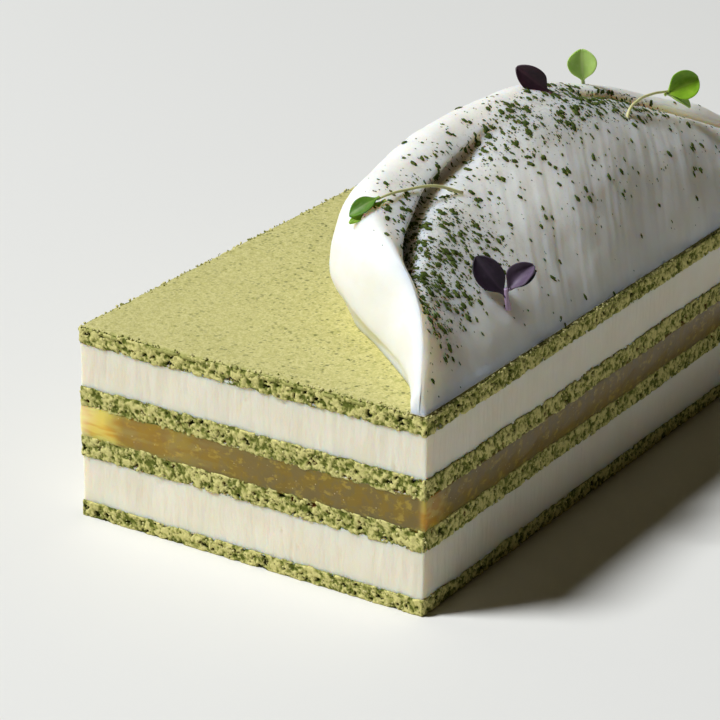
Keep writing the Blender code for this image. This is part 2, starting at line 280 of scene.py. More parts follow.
def add_block(name: str, low: Triple, high: Triple) -> bpy.types.Object:
    """Adds a plain block between two corners, given in millimetres."""
    bpy.ops.object.select_all(action="DESELECT")
    middle = [(a + b) / 2 * MM for a, b in zip(low, high)]
    size = [(b - a) * MM for a, b in zip(low, high)]
    bpy.ops.mesh.primitive_cube_add(size=1, location=middle)
    block = bpy.context.object
    block.name = block.data.name = name
    block.scale = size
    bpy.ops.object.transform_apply(location=True, rotation=True, scale=True)
    return block


def points_of(piece: bpy.types.Object) -> Points:
    """The piece's vertices in millimetres, shaped (count, 3)."""
    flat = np.empty(len(piece.data.vertices) * 3, np.float32)
    piece.data.vertices.foreach_get("co", flat)
    return flat.reshape(-1, 3).astype(float) / MM


def place_points(piece: bpy.types.Object, points: Points) -> None:
    """Moves the piece's vertices to places given in millimetres."""
    piece.data.vertices.foreach_set("co", (points * MM).astype(np.float32).ravel())
    piece.data.update()


def store(piece: bpy.types.Object, name: str, values: np.ndarray) -> None:
    """Keeps one number for each vertex, which the piece's material reads by name."""
    made = piece.data.attributes.new(name, "FLOAT", "POINT")
    made.data.foreach_set("value", values.astype(np.float32))


def apply_modifier(piece: bpy.types.Object, kind: str, **settings: object) -> None:
    """Adds a modifier with these settings and applies it at once."""
    select_alone(piece)
    made = piece.modifiers.new(kind.lower(), kind)
    for name, value in settings.items():
        setattr(made, name, value)
    bpy.ops.object.modifier_apply(modifier=made.name)


def shade_smooth(piece: bpy.types.Object) -> None:
    """Shades every face of the piece smooth, but for the wide flat faces that close an end."""
    piece.data.shade_smooth()
    for face in piece.data.polygons:
        if len(face.vertices) > MOST_CORNERS:
            face.use_smooth = False


def mesh_piece(name: str, points: Points, faces: Sequence[Sequence[int]]) -> bpy.types.Object:
    """Makes an object from places in millimetres and faces that index them."""
    mesh = bpy.data.meshes.new(name)
    mesh.from_pydata((points * MM).tolist(), [], faces)
    mesh.update()
    made = bpy.data.objects.new(name, mesh)
    bpy.context.scene.collection.objects.link(made)
    return made


def dress(piece: bpy.types.Object, finish: bpy.types.Material, slot: Slot, *nodes: str) -> None:
    """Gives a piece its material, sets it on the body and lets it stand for its nodes."""
    piece.data.materials.clear()
    piece.data.materials.append(finish)
    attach(piece, BODY)
    if nodes:
        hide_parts(*nodes)
    log.info("%s: %d vertices", piece.name, len(piece.data.vertices))


class Shade:
    """One socket of a material, where operators on numbers add Math nodes."""

    def __init__(self, graph: "Graph", socket: bpy.types.NodeSocket) -> None:
        """Keeps the socket with the graph that it belongs to."""
        self.graph = graph
        self.socket = socket

    def math(self, operation: str, *others: "Shade | float") -> "Shade":
        """Adds a Math node with this socket first."""
        return self.graph.math(operation, self, *others)

    def __add__(self, other: "Shade | float") -> "Shade":
        """Adds."""
        return self.math("ADD", other)

    def __sub__(self, other: "Shade | float") -> "Shade":
        """Subtracts."""
        return self.math("SUBTRACT", other)

    def __rsub__(self, other: float) -> "Shade":
        """Subtracts this from a number."""
        return self.graph.math("SUBTRACT", other, self)

    def __mul__(self, other: "Shade | float") -> "Shade":
        """Multiplies."""
        return self.math("MULTIPLY", other)

    def larger(self, other: "Shade | float") -> "Shade":
        """The larger of the two."""
        return self.math("MAXIMUM", other)

    def rise(self, start: float, end: float) -> "Shade":
        """Smoothly from 0 where this is at the start to 1 where it is at the end."""
        sockets = {"Value": self, "From Min": start, "From Max": end}
        return self.graph.add("ShaderNodeMapRange", {"interpolation_type": "SMOOTHSTEP"}, sockets)


class Graph:
    """A new material's nodes, and the few ways in which the finishes add to them."""

    def __init__(self, name: str) -> None:
        """Starts the material with nothing but its shader and its output."""
        self.material = bpy.data.materials.new(name)
        self.material.use_nodes = True
        self.tree = self.material.node_tree
        self.shader = self.tree.nodes["Principled BSDF"]

    def add(
        self,
        kind: str,
        settings: dict[str, object] | None = None,
        sockets: dict[str | int, object] | None = None,
        output: str | int = 0,
    ) -> Shade:
        """Adds a node.

        Args:
            kind: The node's type.
            settings: Values of the node itself.
            sockets: Numbers, colours or links for its inputs, by name or number.
            output: The output that is wanted, by name or number.

        Returns:
            That output.
        """
        node = self.tree.nodes.new(kind)
        for name, value in (settings or {}).items():
            setattr(node, name, value)
        for name, value in (sockets or {}).items():
            self.feed(node.inputs[name], value)
        return Shade(self, node.outputs[output])

    def feed(self, socket: bpy.types.NodeSocket, value: object) -> None:
        """Links a socket to another, or sets its value."""
        if isinstance(value, Shade):
            self.tree.links.new(value.socket, socket)
        elif socket.type == "RGBA" and len(value) == 3:
            socket.default_value = (*value, 1.0)
        else:
            socket.default_value = value

    def math(self, operation: str, *values: "Shade | float") -> Shade:
        """Adds a Math node on one to three values."""
        return self.add("ShaderNodeMath", {"operation": operation}, dict(enumerate(values)))

    def place(self) -> Shade:
        """The point's place in the slice's own frame, in metres."""
        return self.add("ShaderNodeTexCoord", output="Object")

    def part(self, vector: Shade, axis: str) -> Shade:
        """One part of a vector, X, Y or Z."""
        return self.add("ShaderNodeSeparateXYZ", sockets={0: vector}, output=axis)

    def stretched(self, vector: Shade, scale: Triple) -> Shade:
        """A vector stretched by these factors."""
        return self.add("ShaderNodeMapping", sockets={0: vector, "Scale": scale})

    def attribute(self, name: str) -> Shade:
        """A number kept for each vertex of the piece."""
        return self.add("ShaderNodeAttribute", {"attribute_name": name}, output="Fac")

    def noise(self, vector: Shade, size: float, detail: float = 2.0, rough: float = 0.5) -> Shade:
        """Smooth noise from 0 to 1, its bumps so many millimetres wide."""
        sockets = {"Vector": vector, "Scale": 1 / (size * MM), "Detail": detail, "Roughness": rough}
        return self.add("ShaderNodeTexNoise", sockets=sockets)

    def dots(self, vector: Shade, spacing: float) -> Shade:
        """Distance to scattered points, in parts of their spacing in millimetres."""
        sockets = {"Vector": vector, "Scale": 1 / (spacing * MM)}
        return self.add("ShaderNodeTexVoronoi", sockets=sockets, output="Distance")

    def blend(self, factor: Shade | float, first: Shade | Colour, second: Shade | Colour) -> Shade:
        """Goes from the first colour to the second."""
        return self.add("ShaderNodeMix", {"data_type": "RGBA"}, {0: factor, 6: first, 7: second}, 2)

    def bump(self, height: Shade, depth: float, strength: float = 1.0, under: Shade | None = None) -> Shade:
        """Relief so many millimetres deep, over any relief under it."""
        sockets = {"Height": height, "Distance": depth * MM, "Strength": strength}
        if under is not None:
            sockets["Normal"] = under
        return self.add("ShaderNodeBump", sockets=sockets)

    def finish(self, **sockets: object) -> bpy.types.Material:
        """Feeds the shader's sockets, named in small letters with underscores, and returns the material."""
        wanted = {name.replace(" ", "_").lower(): name for name in self.shader.inputs.keys()}
        for name, value in sockets.items():
            self.feed(self.shader.inputs[wanted[name]], value)
        return self.material


@dataclass(frozen=True)
class SpongeFinish:
    """Cut green tea crumb with random tone and syrup in some pores, darkened by painted shade where its
    surface is sunk and in its pores.
    """

    name: str = "green_tea_sponge"
    pale: Colour = (0.680, 0.620, 0.230)
    # Middle and low darken the sunk crumb and dark darkens the pores: painted shade, mixed with random tone;
    # syrup is the real colour of soaked pores.
    middle: Colour = (0.340, 0.335, 0.085)
    low: Colour = (0.115, 0.135, 0.020)
    dark: Colour = (0.026, 0.036, 0.005)
    syrup: Colour = (0.120, 0.034, 0.004)

    def build(self) -> bpy.types.Material:
        """Makes the material, which reads three attributes: how sunk the surface is and where its pores are,
        both for painted shade, and where syrup lies.
        """
        g = Graph(self.name)
        place = g.place()
        recess_shade = g.attribute("recess_shade")
        coarse = g.noise(place, 0.9, 3.0, 0.6)
        fine = g.noise(place, 0.30, 3.0, 0.7)
        # Painted shade: the crumb goes from pale through middle to low where its surface is sunk, mixed with
        # random tone.
        crumb = g.blend((recess_shade * 0.5 + coarse * 0.5).rise(0.40, 0.58), self.pale, self.middle)
        mixed = g.blend((recess_shade * 0.6 + fine * 0.4).rise(0.50, 0.64), crumb, self.low)
        # Painted shade: the pores are darkened nearly to black, except where syrup fills them.
        holes = g.blend(g.attribute("syrup"), self.dark, self.syrup)
        colour = g.blend(g.attribute("pit").rise(0.08, 0.6), mixed, holes)
        relief = g.bump(coarse, 0.30, 0.6)
        pitted = g.bump(fine, 0.16, 0.8, relief)
        return g.finish(base_color=colour, roughness=0.95, normal=pitted, specular_ior_level=0.15)


@dataclass(frozen=True)
class SkinFinish:
    """The baked skin on top: pale yellow-green, dusted with fine green tea powder."""

    name: str = "green_tea_skin"
    pale: Colour = (0.660, 0.600, 0.255)
    low: Colour = (0.520, 0.475, 0.165)
    moss: Colour = (0.330, 0.335, 0.085)
    powder: Colour = (0.060, 0.080, 0.018)

    def build(self) -> bpy.types.Material:
        """Makes the material, which reads the attribute worn."""
        g = Graph(self.name)
        place = g.place()
        grain = g.noise(place, 0.45, 4.0, 0.7)
        skin = g.blend(grain.rise(0.38, 0.62), self.low, self.pale)
        along, across = g.part(place, "X"), g.part(place, "Y")
        thick = g.noise(place, 7.0, 3.0, 0.6) * 0.5 + along * 3.0 - across * 5.0 + 0.02
        patches = g.noise(place, 1.6, 4.0, 0.75).rise(0.48, 0.66)
        mossy = g.blend(patches * thick.rise(-0.1, 0.5), skin, self.moss)
        fine = 1 - g.dots(place, 0.80).rise(0.18, 0.42)
        coarse = 1 - g.dots(place, 1.60).rise(0.14, 0.28)
        few = g.noise(place, 1.1, 2.0).rise(0.42, 0.56)
        fewer = g.noise(place, 2.1, 2.0).rise(0.44, 0.54)
        specks = (fine * few * 0.55).larger(coarse * fewer * 0.75) * thick.rise(-0.30, 0.30)
        colour = g.blend(specks, mossy, self.powder)
        rubbed = g.blend(g.attribute("worn") * 0.8, colour, self.moss)
        relief = g.bump(grain, 0.22, 0.7)
        return g.finish(base_color=rubbed, roughness=0.95, normal=relief, specular_ior_level=0.15)


@dataclass(frozen=True)
class CreamFinish:
    """Smooth ivory cream, cut by a knife that left faint upright drag marks."""

    name: str = "ivory_cream"
    pale: Colour = (0.860, 0.800, 0.645)
    deep: Colour = (0.830, 0.760, 0.590)
    stain: Colour = (0.560, 0.560, 0.250)

    def build(self) -> bpy.types.Material:
        """Makes the material, which reads the attribute rim where the sponge has stained it."""
        g = Graph(self.name)
        place = g.place()
        cloudy = g.blend(g.noise(place, 6.0, 3.0).rise(0.3, 0.7), self.deep, self.pale)
        smears = g.noise(place, 0.7, 3.0, 0.7).rise(0.35, 0.7)
        colour = g.blend(g.attribute("rim") * smears * 0.55, cloudy, self.stain)
        drag = g.noise(g.stretched(place, (1.0, 1.0, 0.16)), 0.8, 3.0, 0.6)
        pinholes = g.dots(place, 1.5).rise(0.0, 0.10)
        relief = g.bump(drag, 0.22, 0.7)
        holed = g.bump(pinholes, 0.10, 0.35, relief)
        return g.finish(
            base_color=colour, roughness=0.5, normal=holed, subsurface_weight=1.0,
            subsurface_radius=(1.0, 0.7, 0.42), subsurface_scale=0.0022, specular_ior_level=0.3,
        )


@dataclass(frozen=True)
class JellyFinish:
    """Cloudy amber fruit jelly with paler fruit in it, with a painted glow where light reaches its left
    corner and painted glints.
    """

    name: str = "fruit_jelly"
    grey: Colour = (0.210, 0.148, 0.042)
    amber: Colour = (0.245, 0.162, 0.020)
    gold: Colour = (0.420, 0.300, 0.045)
    # These three colours are painted light: a glow from orange to straw, and the pale highlight at the
    # corner and on the glints.
    painted_glow: Colour = (0.740, 0.380, 0.025)
    straw: Colour = (0.860, 0.640, 0.130)
    painted_highlight: Colour = (0.900, 0.780, 0.420)

    def build(self) -> bpy.types.Material:
        """Makes the material, which reads the two attributes that place the painted glow and the paler
        painted light at the corner.
        """
        g = Graph(self.name)
        place = g.place()
        cloudy = g.blend(g.noise(place, 2.6, 4.0, 0.65).rise(0.44, 0.60), self.grey, self.amber)
        fruit = g.noise(g.stretched(place, (1.0, 1.0, 1.6)), 1.7, 3.0, 0.6).rise(0.54, 0.68)
        veined = g.blend(fruit * 0.8, cloudy, self.gold)
        # Painted glow: streaky orange to straw, laid where light reaches the left corner.
        streak = g.noise(g.stretched(place, (1.0, 0.30, 1.6)), 2.4, 2.0).rise(0.42, 0.60)
        bright = g.blend(streak, self.painted_glow, self.straw)
        lit = g.blend(g.attribute("painted_glow"), veined, bright)
        # Painted light: paler still at the very corner, as the tip attribute says.
        colour = g.blend(g.attribute("tip") * 0.7, lit, self.painted_highlight)
        # Painted glints: pale sparkles painted into the colour.
        glints = 1 - g.dots(place, 1.0).rise(0.05, 0.13)
        sparkle = glints * g.noise(place, 2.0, 1.0).rise(0.48, 0.56)
        dotted = g.blend(sparkle * 0.6, colour, self.painted_highlight)
        relief = g.bump(g.noise(place, 1.6, 3.0), 0.25, 0.4)
        return g.finish(
            base_color=dotted, roughness=0.3, normal=relief, subsurface_weight=0.8,
            subsurface_radius=(1.0, 0.5, 0.15), subsurface_scale=0.005, specular_ior_level=0.25,
        )


@dataclass(frozen=True)
class WhippedFinish:
    """Whipped cream: nearly white, satin, with fine drag lines, a breath of green dust, and a crease
    darkened partly by powder and partly by painted shade.
    """

    name: str = "whipped_cream"
    white: Colour = (0.905, 0.880, 0.800)
    shade: Colour = (0.875, 0.840, 0.740)
    dust: Colour = (0.100, 0.115, 0.040)
    # Dark brown for the crease: partly powder, partly painted shade.
    crease_powder_and_shade: Colour = (0.085, 0.070, 0.040)

    def build(self) -> bpy.types.Material:
        """Makes the material, which reads three attributes: its drag lines, its dust, and the crease's
        darkening by powder and painted shade.
        """
        g = Graph(self.name)
        place = g.place()
        base = g.blend(g.noise(place, 7.0, 3.0).rise(0.3, 0.7), self.shade, self.white)
        grains = 1 - g.dots(place, 0.75).rise(0.10, 0.26)
        chosen = g.noise(place, 0.9, 2.0).rise(0.48, 0.58)
        veil = g.attribute("dust")
        film = veil * g.noise(place, 0.8, 4.0, 0.7).rise(0.40, 0.75) * 0.30
        dusted = g.blend((grains * chosen * veil).larger(film), base, self.dust)
        # The crease's dark brown is partly powder and partly painted shade.
        colour = g.blend(g.attribute("crease_shade_and_powder"), dusted, self.crease_powder_and_shade)
        relief = g.bump(g.attribute("streak"), 0.06, 0.4)
        soft = g.bump(g.noise(place, 0.5, 3.0, 0.6), 0.06, 0.35, relief)
        return g.finish(
            base_color=colour, roughness=0.5, normal=soft, subsurface_weight=1.0,
            subsurface_radius=(1.0, 0.8, 0.55), subsurface_scale=0.0045, specular_ior_level=0.25,
        )


@dataclass(frozen=True)
class PowderFinish:
    """Moist clumps of green tea powder."""

    name: str = "green_tea_powder"
    dark: Colour = (0.045, 0.070, 0.012)
    light: Colour = (0.150, 0.185, 0.040)

    def build(self) -> bpy.types.Material:
        """Makes the material."""
        g = Graph(self.name)
        colour = g.blend(g.noise(g.place(), 0.6, 4.0, 0.7).rise(0.4, 0.75), self.dark, self.light)
        relief = g.bump(g.noise(g.place(), 0.2, 2.0), 0.08, 0.8)
        return g.finish(base_color=colour, roughness=1.0, normal=relief, specular_ior_level=0.1)


@dataclass(frozen=True)
class CrumbFinish:
    """Loose crumbs of the green tea sponge, from pale yellow-green to moss."""

    name: str = "sponge_crumbs"
    pale: Colour = (0.680, 0.620, 0.280)
    moss: Colour = (0.200, 0.215, 0.045)

    def build(self) -> bpy.types.Material:
        """Makes the material."""
        g = Graph(self.name)
        colour = g.blend(g.noise(g.place(), 0.9, 2.0, 0.6).rise(0.35, 0.6), self.moss, self.pale)
        relief = g.bump(g.noise(g.place(), 0.2, 2.0), 0.08, 0.8)
        return g.finish(base_color=colour, roughness=1.0, normal=relief, specular_ior_level=0.1)


@dataclass(frozen=True)
class LeafFinish:
    """A thin seedling leaf or stem: its colour, its paler veins, and light through it."""

    name: str
    blade: Colour
    deep: Colour
    vein: Colour
    through: float = 0.25
    gloss: float = 0.5

    def build(self) -> bpy.types.Material:
        """Makes the material, which reads the attributes vein and root."""
        g = Graph(self.name)
        place = g.place()
        patchy = g.blend(g.noise(place, 2.2, 3.0).rise(0.3, 0.7), self.deep, self.blade)
        veined = g.blend(g.attribute("vein") * 0.4, patchy, self.vein)
        colour = g.blend(g.attribute("root"), veined, self.vein)
        cells = g.bump(g.noise(place, 0.25, 2.0), 0.03, 0.5)
        relief = g.bump(g.attribute("vein"), 0.08, 0.5, cells)
        return g.finish(
            base_color=colour, roughness=self.gloss, normal=relief, specular_ior_level=0.35,
            subsurface_weight=self.through, subsurface_radius=(0.8, 1.0, 0.3), subsurface_scale=0.0008,
        )


@dataclass
class CakeLayer:
    """One layer of the cake, cut from a block between two seams and then worked at its sides."""

    node: str
    index: int
    step: float
    rows: int
    corner: float = 0.6
    tuck: float = 0.45
    tuck_depth: float = 1.3

    def cut_block(self) -> bpy.types.Object:
        """Cuts the block's four sides finely, with its two ends left open.

        Returns:
            The block, a closed band round the cake.
        """
        low, high = LEVELS[self.index], LEVELS[self.index + 1]
        block = add_block(self.node + "_cut", (-LENGTH / 2, -WIDTH / 2, low), (LENGTH / 2, WIDTH / 2, high))
        with editing(block):
            for sign in (-1, 1):
                pick_faces(block, faces_along(2, sign))
                bpy.ops.mesh.delete(type="ONLY_FACE")
            for axis, run in ((2, self.rows * self.step), (0, LENGTH), (1, WIDTH)):
                cut_across(block, axis, round(run / self.step))
        return block

    def close_ends(self, block: bpy.types.Object) -> None:
        """Closes the block's open ends, each with one flat face."""
        with editing(block):
            for upper in (False, True):
                pick_edges(block, lambda edge: edge.is_boundary and self.is_upper(edge) == upper)
                bpy.ops.mesh.edge_face_add()
            turn_outward()

    def is_upper(self, edge: bmesh.types.BMEdge) -> bool:
        """True for an edge in the upper half of the layer."""
        middle = (LEVELS[self.index] + LEVELS[self.index + 1]) / 2 * MM
        return (edge.verts[0].co.z + edge.verts[1].co.z) / 2 > middle

    def outward(self, points: Points) -> tuple[Points, Points]:
        """Rounds the block's upright corners and works out which way is out of the cake.

        Args:
            points: The block's points in millimetres, all on its sides.

        Returns:
            The rounded points, and the level way out at each.
        """
        half = np.array([LENGTH / 2, WIDTH / 2])
        over = np.abs(points[:, :2]) - (half - self.corner)
        way = np.where(over > 1e-6, over, 0) * np.sign(points[:, :2])
        in_corner = np.all(over > 1e-6, axis=1)
        reach = np.linalg.norm(way, axis=1)
        out = np.zeros_like(points)
        out[:, :2] = way / reach[:, None]
        rounded = points.copy()
        middle = np.sign(points[:, :2]) * (half - self.corner)
        rounded[in_corner, :2] = (middle + out[:, :2] * self.corner)[in_corner]
        on_x = over[:, 0] > over[:, 1]
        straight = np.stack([on_x * np.sign(points[:, 0]), ~on_x * np.sign(points[:, 1])], axis=1)
        out[~in_corner, :2] = straight[~in_corner]
        return rounded, out

    def share_up(self, points: Points) -> np.ndarray:
        """How far up the layer each point of the block lies, from 0 to 1."""
        low, high = LEVELS[self.index], LEVELS[self.index + 1]
        return (points[:, 2] - low) / (high - low)

    def seams(self, points: Points) -> tuple[np.ndarray, np.ndarray]:
        """The heights of the seams under and over each point of the layer."""
        return seam_height(self.index, points), seam_height(self.index + 1, points)

    def tucked(self, share: np.ndarray, low: np.ndarray, high: np.ndarray) -> tuple[np.ndarray, np.ndarray]:
        """Puts the outermost rows behind the sponges and the next ones on the seams.

        Args:
            share: How far up the layer each point lies.
            low: The seam under each point.
            high: The seam over each point.

        Returns:
            A height for each point, and how far past its seam it lies, from 0 to 1.
        """
        row = 1 / self.rows
        within = np.clip((share - row) / (1 - 2 * row), 0, 1)
        under = np.clip(1 - share / row, 0, 1)
        over = np.clip(1 - (1 - share) / row, 0, 1)
        heights = low * (1 - within) + high * within - self.tuck * under + self.tuck * over
        return heights, np.clip(np.maximum(low - heights, heights - high) / self.tuck, 0, 1)

    def work(self, block: bpy.types.Object) -> None:
        """Works the sides; each kind of layer has its own way."""
        raise NotImplementedError

    def make(self, finish: bpy.types.Material, slot: Slot) -> bpy.types.Object:
        """Cuts, works, closes and dresses the layer."""
        block = self.cut_block()
        self.work(block)
        self.close_ends(block)
        shade_smooth(block)
        dress(block, finish, slot, self.node)
        return block


@dataclass
class SpongeLayer(CakeLayer):
    """Open crumb, torn a little by the knife, with pores of several sizes and ragged seams."""

    rough: float = 0.13
    rough_size: float = 0.85
    grit: float = 0.08
    grit_size: float = 0.42
    pore_spacing: float = 1.55
    pore_depth: float = 0.85
    pore_share: float = 0.62
    small_spacing: float = 0.70
    small_depth: float = 0.32
    small_share: float = 0.60
    bead: float = 0.22
    bead_depth: float = 0.06
    ragged: float = 0.42
    under_skin: float = 0.0
    syrup_side: float | None = None

    def pores(self, points: Points, spacing: float, seed: int, full: float) -> tuple[np.ndarray, np.ndarray]:
        """Hollows of uneven outline, one to a cell in so many of the cells.

        Args:
            points: Places in millimetres.
            spacing: Width of a cell in millimetres.
            seed: Which scatter is meant.
            full: Share of the cells that have a pore.

        Returns:
            How deep in a pore each place lies, from 0 to 1, and the pore's random number.
        """
        bent = points + 0.30 * spacing * np.stack(
            [soft_noise(points, spacing * 0.55, seed + shift, 2) for shift in (7, 8, 9)], axis=1)
        away, own = nearest_pore(bent * (1, 1, 1.35), spacing, seed)
        radius = spacing * (0.22 + 0.26 * own)
        return np.clip(1 - (away / radius) ** 2, 0, 1) ** 0.6 * (own < full), own

    def work(self, block: bpy.types.Object) -> None:
        """Roughens the sides, sinks the pores and frays the seams."""
        points = points_of(block)
        share = self.share_up(points)
        rounded, out = self.outward(points)
        low, high = self.seams(points)
        frayed = [0.10 + self.ragged * (0.5 + 0.5 * soft_noise(rounded * (1, 1, 0), 1.2, seed, 3))
                  for seed in (31 + self.index, 41 + self.index)]
        bottom = low - (frayed[0] if self.index else 0)
        high = high - self.under_skin
        rounded[:, 2] = bottom * (1 - share) + (high + (0 if self.under_skin else frayed[1])) * share
        from_seam = np.minimum(share, 1 - share) * (high - low)
        bead = 1 - np.sqrt(np.clip(1 - np.clip(1 - from_seam / self.bead, 0, 1) ** 2, 0, 1))
        large, own = self.pores(rounded, self.pore_spacing, 50 + 11 * self.index, self.pore_share)
        small, _ = self.pores(rounded, self.small_spacing, 130 + 11 * self.index, self.small_share)
        holes = self.pore_depth * large + self.small_depth * small
        rough = self.rough * (1 + soft_noise(rounded, self.rough_size, 230 + self.index, 2))
        grit = self.grit * (1 + soft_noise(rounded, self.grit_size, 240 + self.index, 2))
        rounded -= out * (holes + rough + grit + self.bead_depth * bead)[:, None]
        place_points(block, rounded)
        # These two attributes drive the painted shade in the pores and on the sunk crumb.
        store(block, "pit", np.clip(large + 0.7 * small, 0, 1))
        store(block, "recess_shade", (rough / self.rough + grit / self.grit) / 4)
        syrup = np.zeros(len(points))
        if self.syrup_side is not None:
            syrup = ramp(np.abs(share - self.syrup_side), 0.62, 0.35) * (np.modf(own * 7)[0] < 0.55)
        store(block, "syrup", syrup)


@dataclass
class SpongeSkin:
    """The baked skin on top of the cake, which wears away at its cut rim."""

    node: str = "sponge_top"
    step: float = 0.335
    thickness: float = 0.45
    overhang: float = 0.02

    def make(self, finish: bpy.types.Material) -> bpy.types.Object:
        """Shapes a grid into the skin, lets it down over its rim, closes it underneath and dresses it."""
        columns, rows = round(LENGTH / self.step), round(WIDTH / self.step)
        bpy.ops.object.select_all(action="DESELECT")
        bpy.ops.mesh.primitive_grid_add(x_subdivisions=columns, y_subdivisions=rows, size=2)
        skin = bpy.context.object
        skin.name = skin.data.name = "sponge_top_skin"
        flat = points_of(skin) * MM
        at = flat * (LENGTH / 2 - self.overhang, WIDTH / 2 - self.overhang, 0)
        inside = np.minimum(LENGTH / 2 - np.abs(at[:, 0]), WIDTH / 2 - np.abs(at[:, 1]))
        uneven = soft_noise(at, 1.1, 81, 3)
        rim = ramp(inside + 0.22 * uneven, 0.75, 0.0)
        fine = 0.05 * soft_noise(at, 0.8, 82, 2) + 0.06 * soft_noise(at, 5.0, 83)
        away, own = nearest_pore(at, 2.4, 84)
        dimples = 0.20 * np.sqrt(np.clip(1 - (away / (0.20 + 0.30 * own)) ** 2, 0, 1)) * (own > 0.4)
        tears = ramp(soft_noise(at, 1.5, 86, 2), 0.35, 0.8) * ramp(inside, 1.6, 0.4)
        points = at.copy()
        points[:, 2] = TOP - 0.10 + fine - dimples - 0.45 * rim ** 1.5 - 0.18 * tears
        pull = np.where(inside < 1.0, (0.30 + 0.30 * uneven) * ramp(inside, 1.0, 0.0), 0)
        edge_x = LENGTH / 2 - np.abs(at[:, 0]) < WIDTH / 2 - np.abs(at[:, 1])
        points[:, 0] -= np.sign(at[:, 0]) * pull * edge_x
        points[:, 1] -= np.sign(at[:, 1]) * pull * ~edge_x
        place_points(skin, points)
        with editing(skin):
            pick_edges(skin, lambda edge: edge.is_boundary)
            bpy.ops.mesh.extrude_region_move(TRANSFORM_OT_translate={"value": (0, 0, -self.thickness * MM)})
            bpy.ops.mesh.edge_face_add()
            turn_outward()
        under = len(skin.data.vertices) - len(points)
        store(skin, "worn", np.concatenate([np.clip(rim + tears, 0, 1), np.ones(under)]))
        shade_smooth(skin)
        dress(skin, finish, Slot.SPONGE, self.node)
        return skin


@dataclass
class CreamLayer(CakeLayer):
    """Cream filling with a clean cut, dragged a little by the knife, tucked behind the sponge's edges."""

    inset: float = 0.40
    drag: float = 0.06
    drag_size: float = 1.1
    swell: float = 0.10

    def work(self, block: bpy.types.Object) -> None:
        """Draws the drag marks down the sides and tucks both ends into the sponge."""
        points = points_of(block)
        share = self.share_up(points)
        rounded, out = self.outward(points)
        low, high = self.seams(points)
        rounded[:, 2], hidden = self.tucked(share, low, high)
        marks = soft_noise(rounded * (1, 1, 0.16), self.drag_size, 101 + self.index, 3)
        slow = soft_noise(rounded, 9.0, 111 + self.index, 2)
        away, own = nearest_pore(rounded, 3.4, 121 + self.index)
        bubbles = np.sqrt(np.clip(1 - (away / (0.15 + 0.25 * own)) ** 2, 0, 1)) * (own > 0.5)
        depth = self.inset + self.drag * marks + self.swell * slow + 0.25 * bubbles
        rounded -= out * (depth + self.tuck_depth * hidden)[:, None]
        place_points(block, rounded)
        store(block, "rim", ramp(np.minimum(share, 1 - share) * (high - low), 1.3, 0.3))


@dataclass
class JellyLayer(CakeLayer):
    """Fruit jelly that swells a little at half its height, smoothly lumpy with fruit."""

    bulge: float = 0.32
    lumps: float = 0.14
    glow_run: float = 8.0

    def work(self, block: bpy.types.Object) -> None:
        """Swells the sides, and marks where a glow is painted at the corner that light shines through."""
        points = points_of(block)
        share = self.share_up(points)
        rounded, out = self.outward(points)
        low, high = self.seams(points)
        rounded[:, 2], hidden = self.tucked(share, low, high)
        lumpy = self.lumps * (0.5 + 0.5 * soft_noise(rounded, 2.6, 151, 2))
        depth = self.bulge * (2 * share - 1) ** 2 + lumpy + self.tuck_depth * hidden
        rounded -= out * depth[:, None]
        place_points(block, rounded)
        # Painted glow: the corner that light shines through, and the shaded side beside it, are marked for a
        # brighter colour.
        from_corner = np.hypot(rounded[:, 0] + LENGTH / 2, rounded[:, 1] - WIDTH / 2)
        wavering = from_corner + 1.5 * soft_noise(rounded, 3.0, 161, 2)
        faint = 0.25 * ramp(wavering, self.glow_run * 5, self.glow_run)
        past_corner = rounded[:, 0] + LENGTH / 2 + 1.5 * soft_noise(rounded, 2.0, 163, 2)
        on_side = ramp(rounded[:, 1], -WIDTH / 2 + 1.5, -WIDTH / 2 + 0.5)
        corner = 0.5 * ramp(past_corner, self.glow_run, 1.0) * on_side
        near = ramp(wavering, self.glow_run * 1.5, self.glow_run * 0.6)
        store(block, "painted_glow", np.maximum(np.maximum(faint, corner), near))
        store(block, "tip", ramp(wavering, self.glow_run * 0.55, 0.0))


@dataclass
class Crumbs:
    """Loose crumbs that cling to the sponge's cut sides and to the worn rim of its skin."""

    count: int = 2600
    rim_count: int = 1100
    seed: int = 31

    def make(self, finish: bpy.types.Material) -> bpy.types.Object:
        """Scatters the crumbs round the cake at the sponges' heights and dresses them."""
        draw = np.random.default_rng(self.seed)
        spans = [(LEVELS[index], LEVELS[index + 1]) for index in (0, 2, 4, 6)]
        perimeter = 2 * (LENGTH + WIDTH)
        grains = Grains(1, draw)
        for number in range(self.count + self.rim_count):
            on_rim = number >= self.count
            low, high = spans[3] if on_rim else spans[draw.integers(4)]
            x, y, out = walk_round(draw.random() * perimeter)
            depth = 0.25 + 0.20 * draw.random() + (draw.random() ** 2 if on_rim else 0)
            if on_rim:
                z = TOP - 0.05 - 0.3 * draw.random()
            else:
                z = low + 0.15 + (high - low - 0.3) * draw.random()
            middle = np.array([x, y, max(z, 0.45)]) - out * depth
            size = 0.28 + 0.42 * draw.random() ** 2
            turned, _ = np.linalg.qr(draw.normal(size=(3, 3)))
            grains.add(middle, turned * (size * (0.6 + 0.4 * draw.random(3)))[:, None], 0.5)
        return grains.join("loose_sponge_crumbs", finish, Slot.SPONGE)


def walk_round(distance: float) -> tuple[float, float, np.ndarray]:
    """The place on the cake's outline so far round it, and the way out there."""
    far, left = LENGTH / 2, WIDTH / 2
    for run, x, y, along, out in (
        (LENGTH, -far, -left, (1, 0), (0, -1, 0)),
        (WIDTH, far, -left, (0, 1), (1, 0, 0)),
        (LENGTH, far, left, (-1, 0), (0, 1, 0)),
        (WIDTH, -far, left, (0, -1), (-1, 0, 0)),
    ):
        if distance <= run:
            break
        distance -= run
    return x + along[0] * distance, y + along[1] * distance, np.array(out, float)


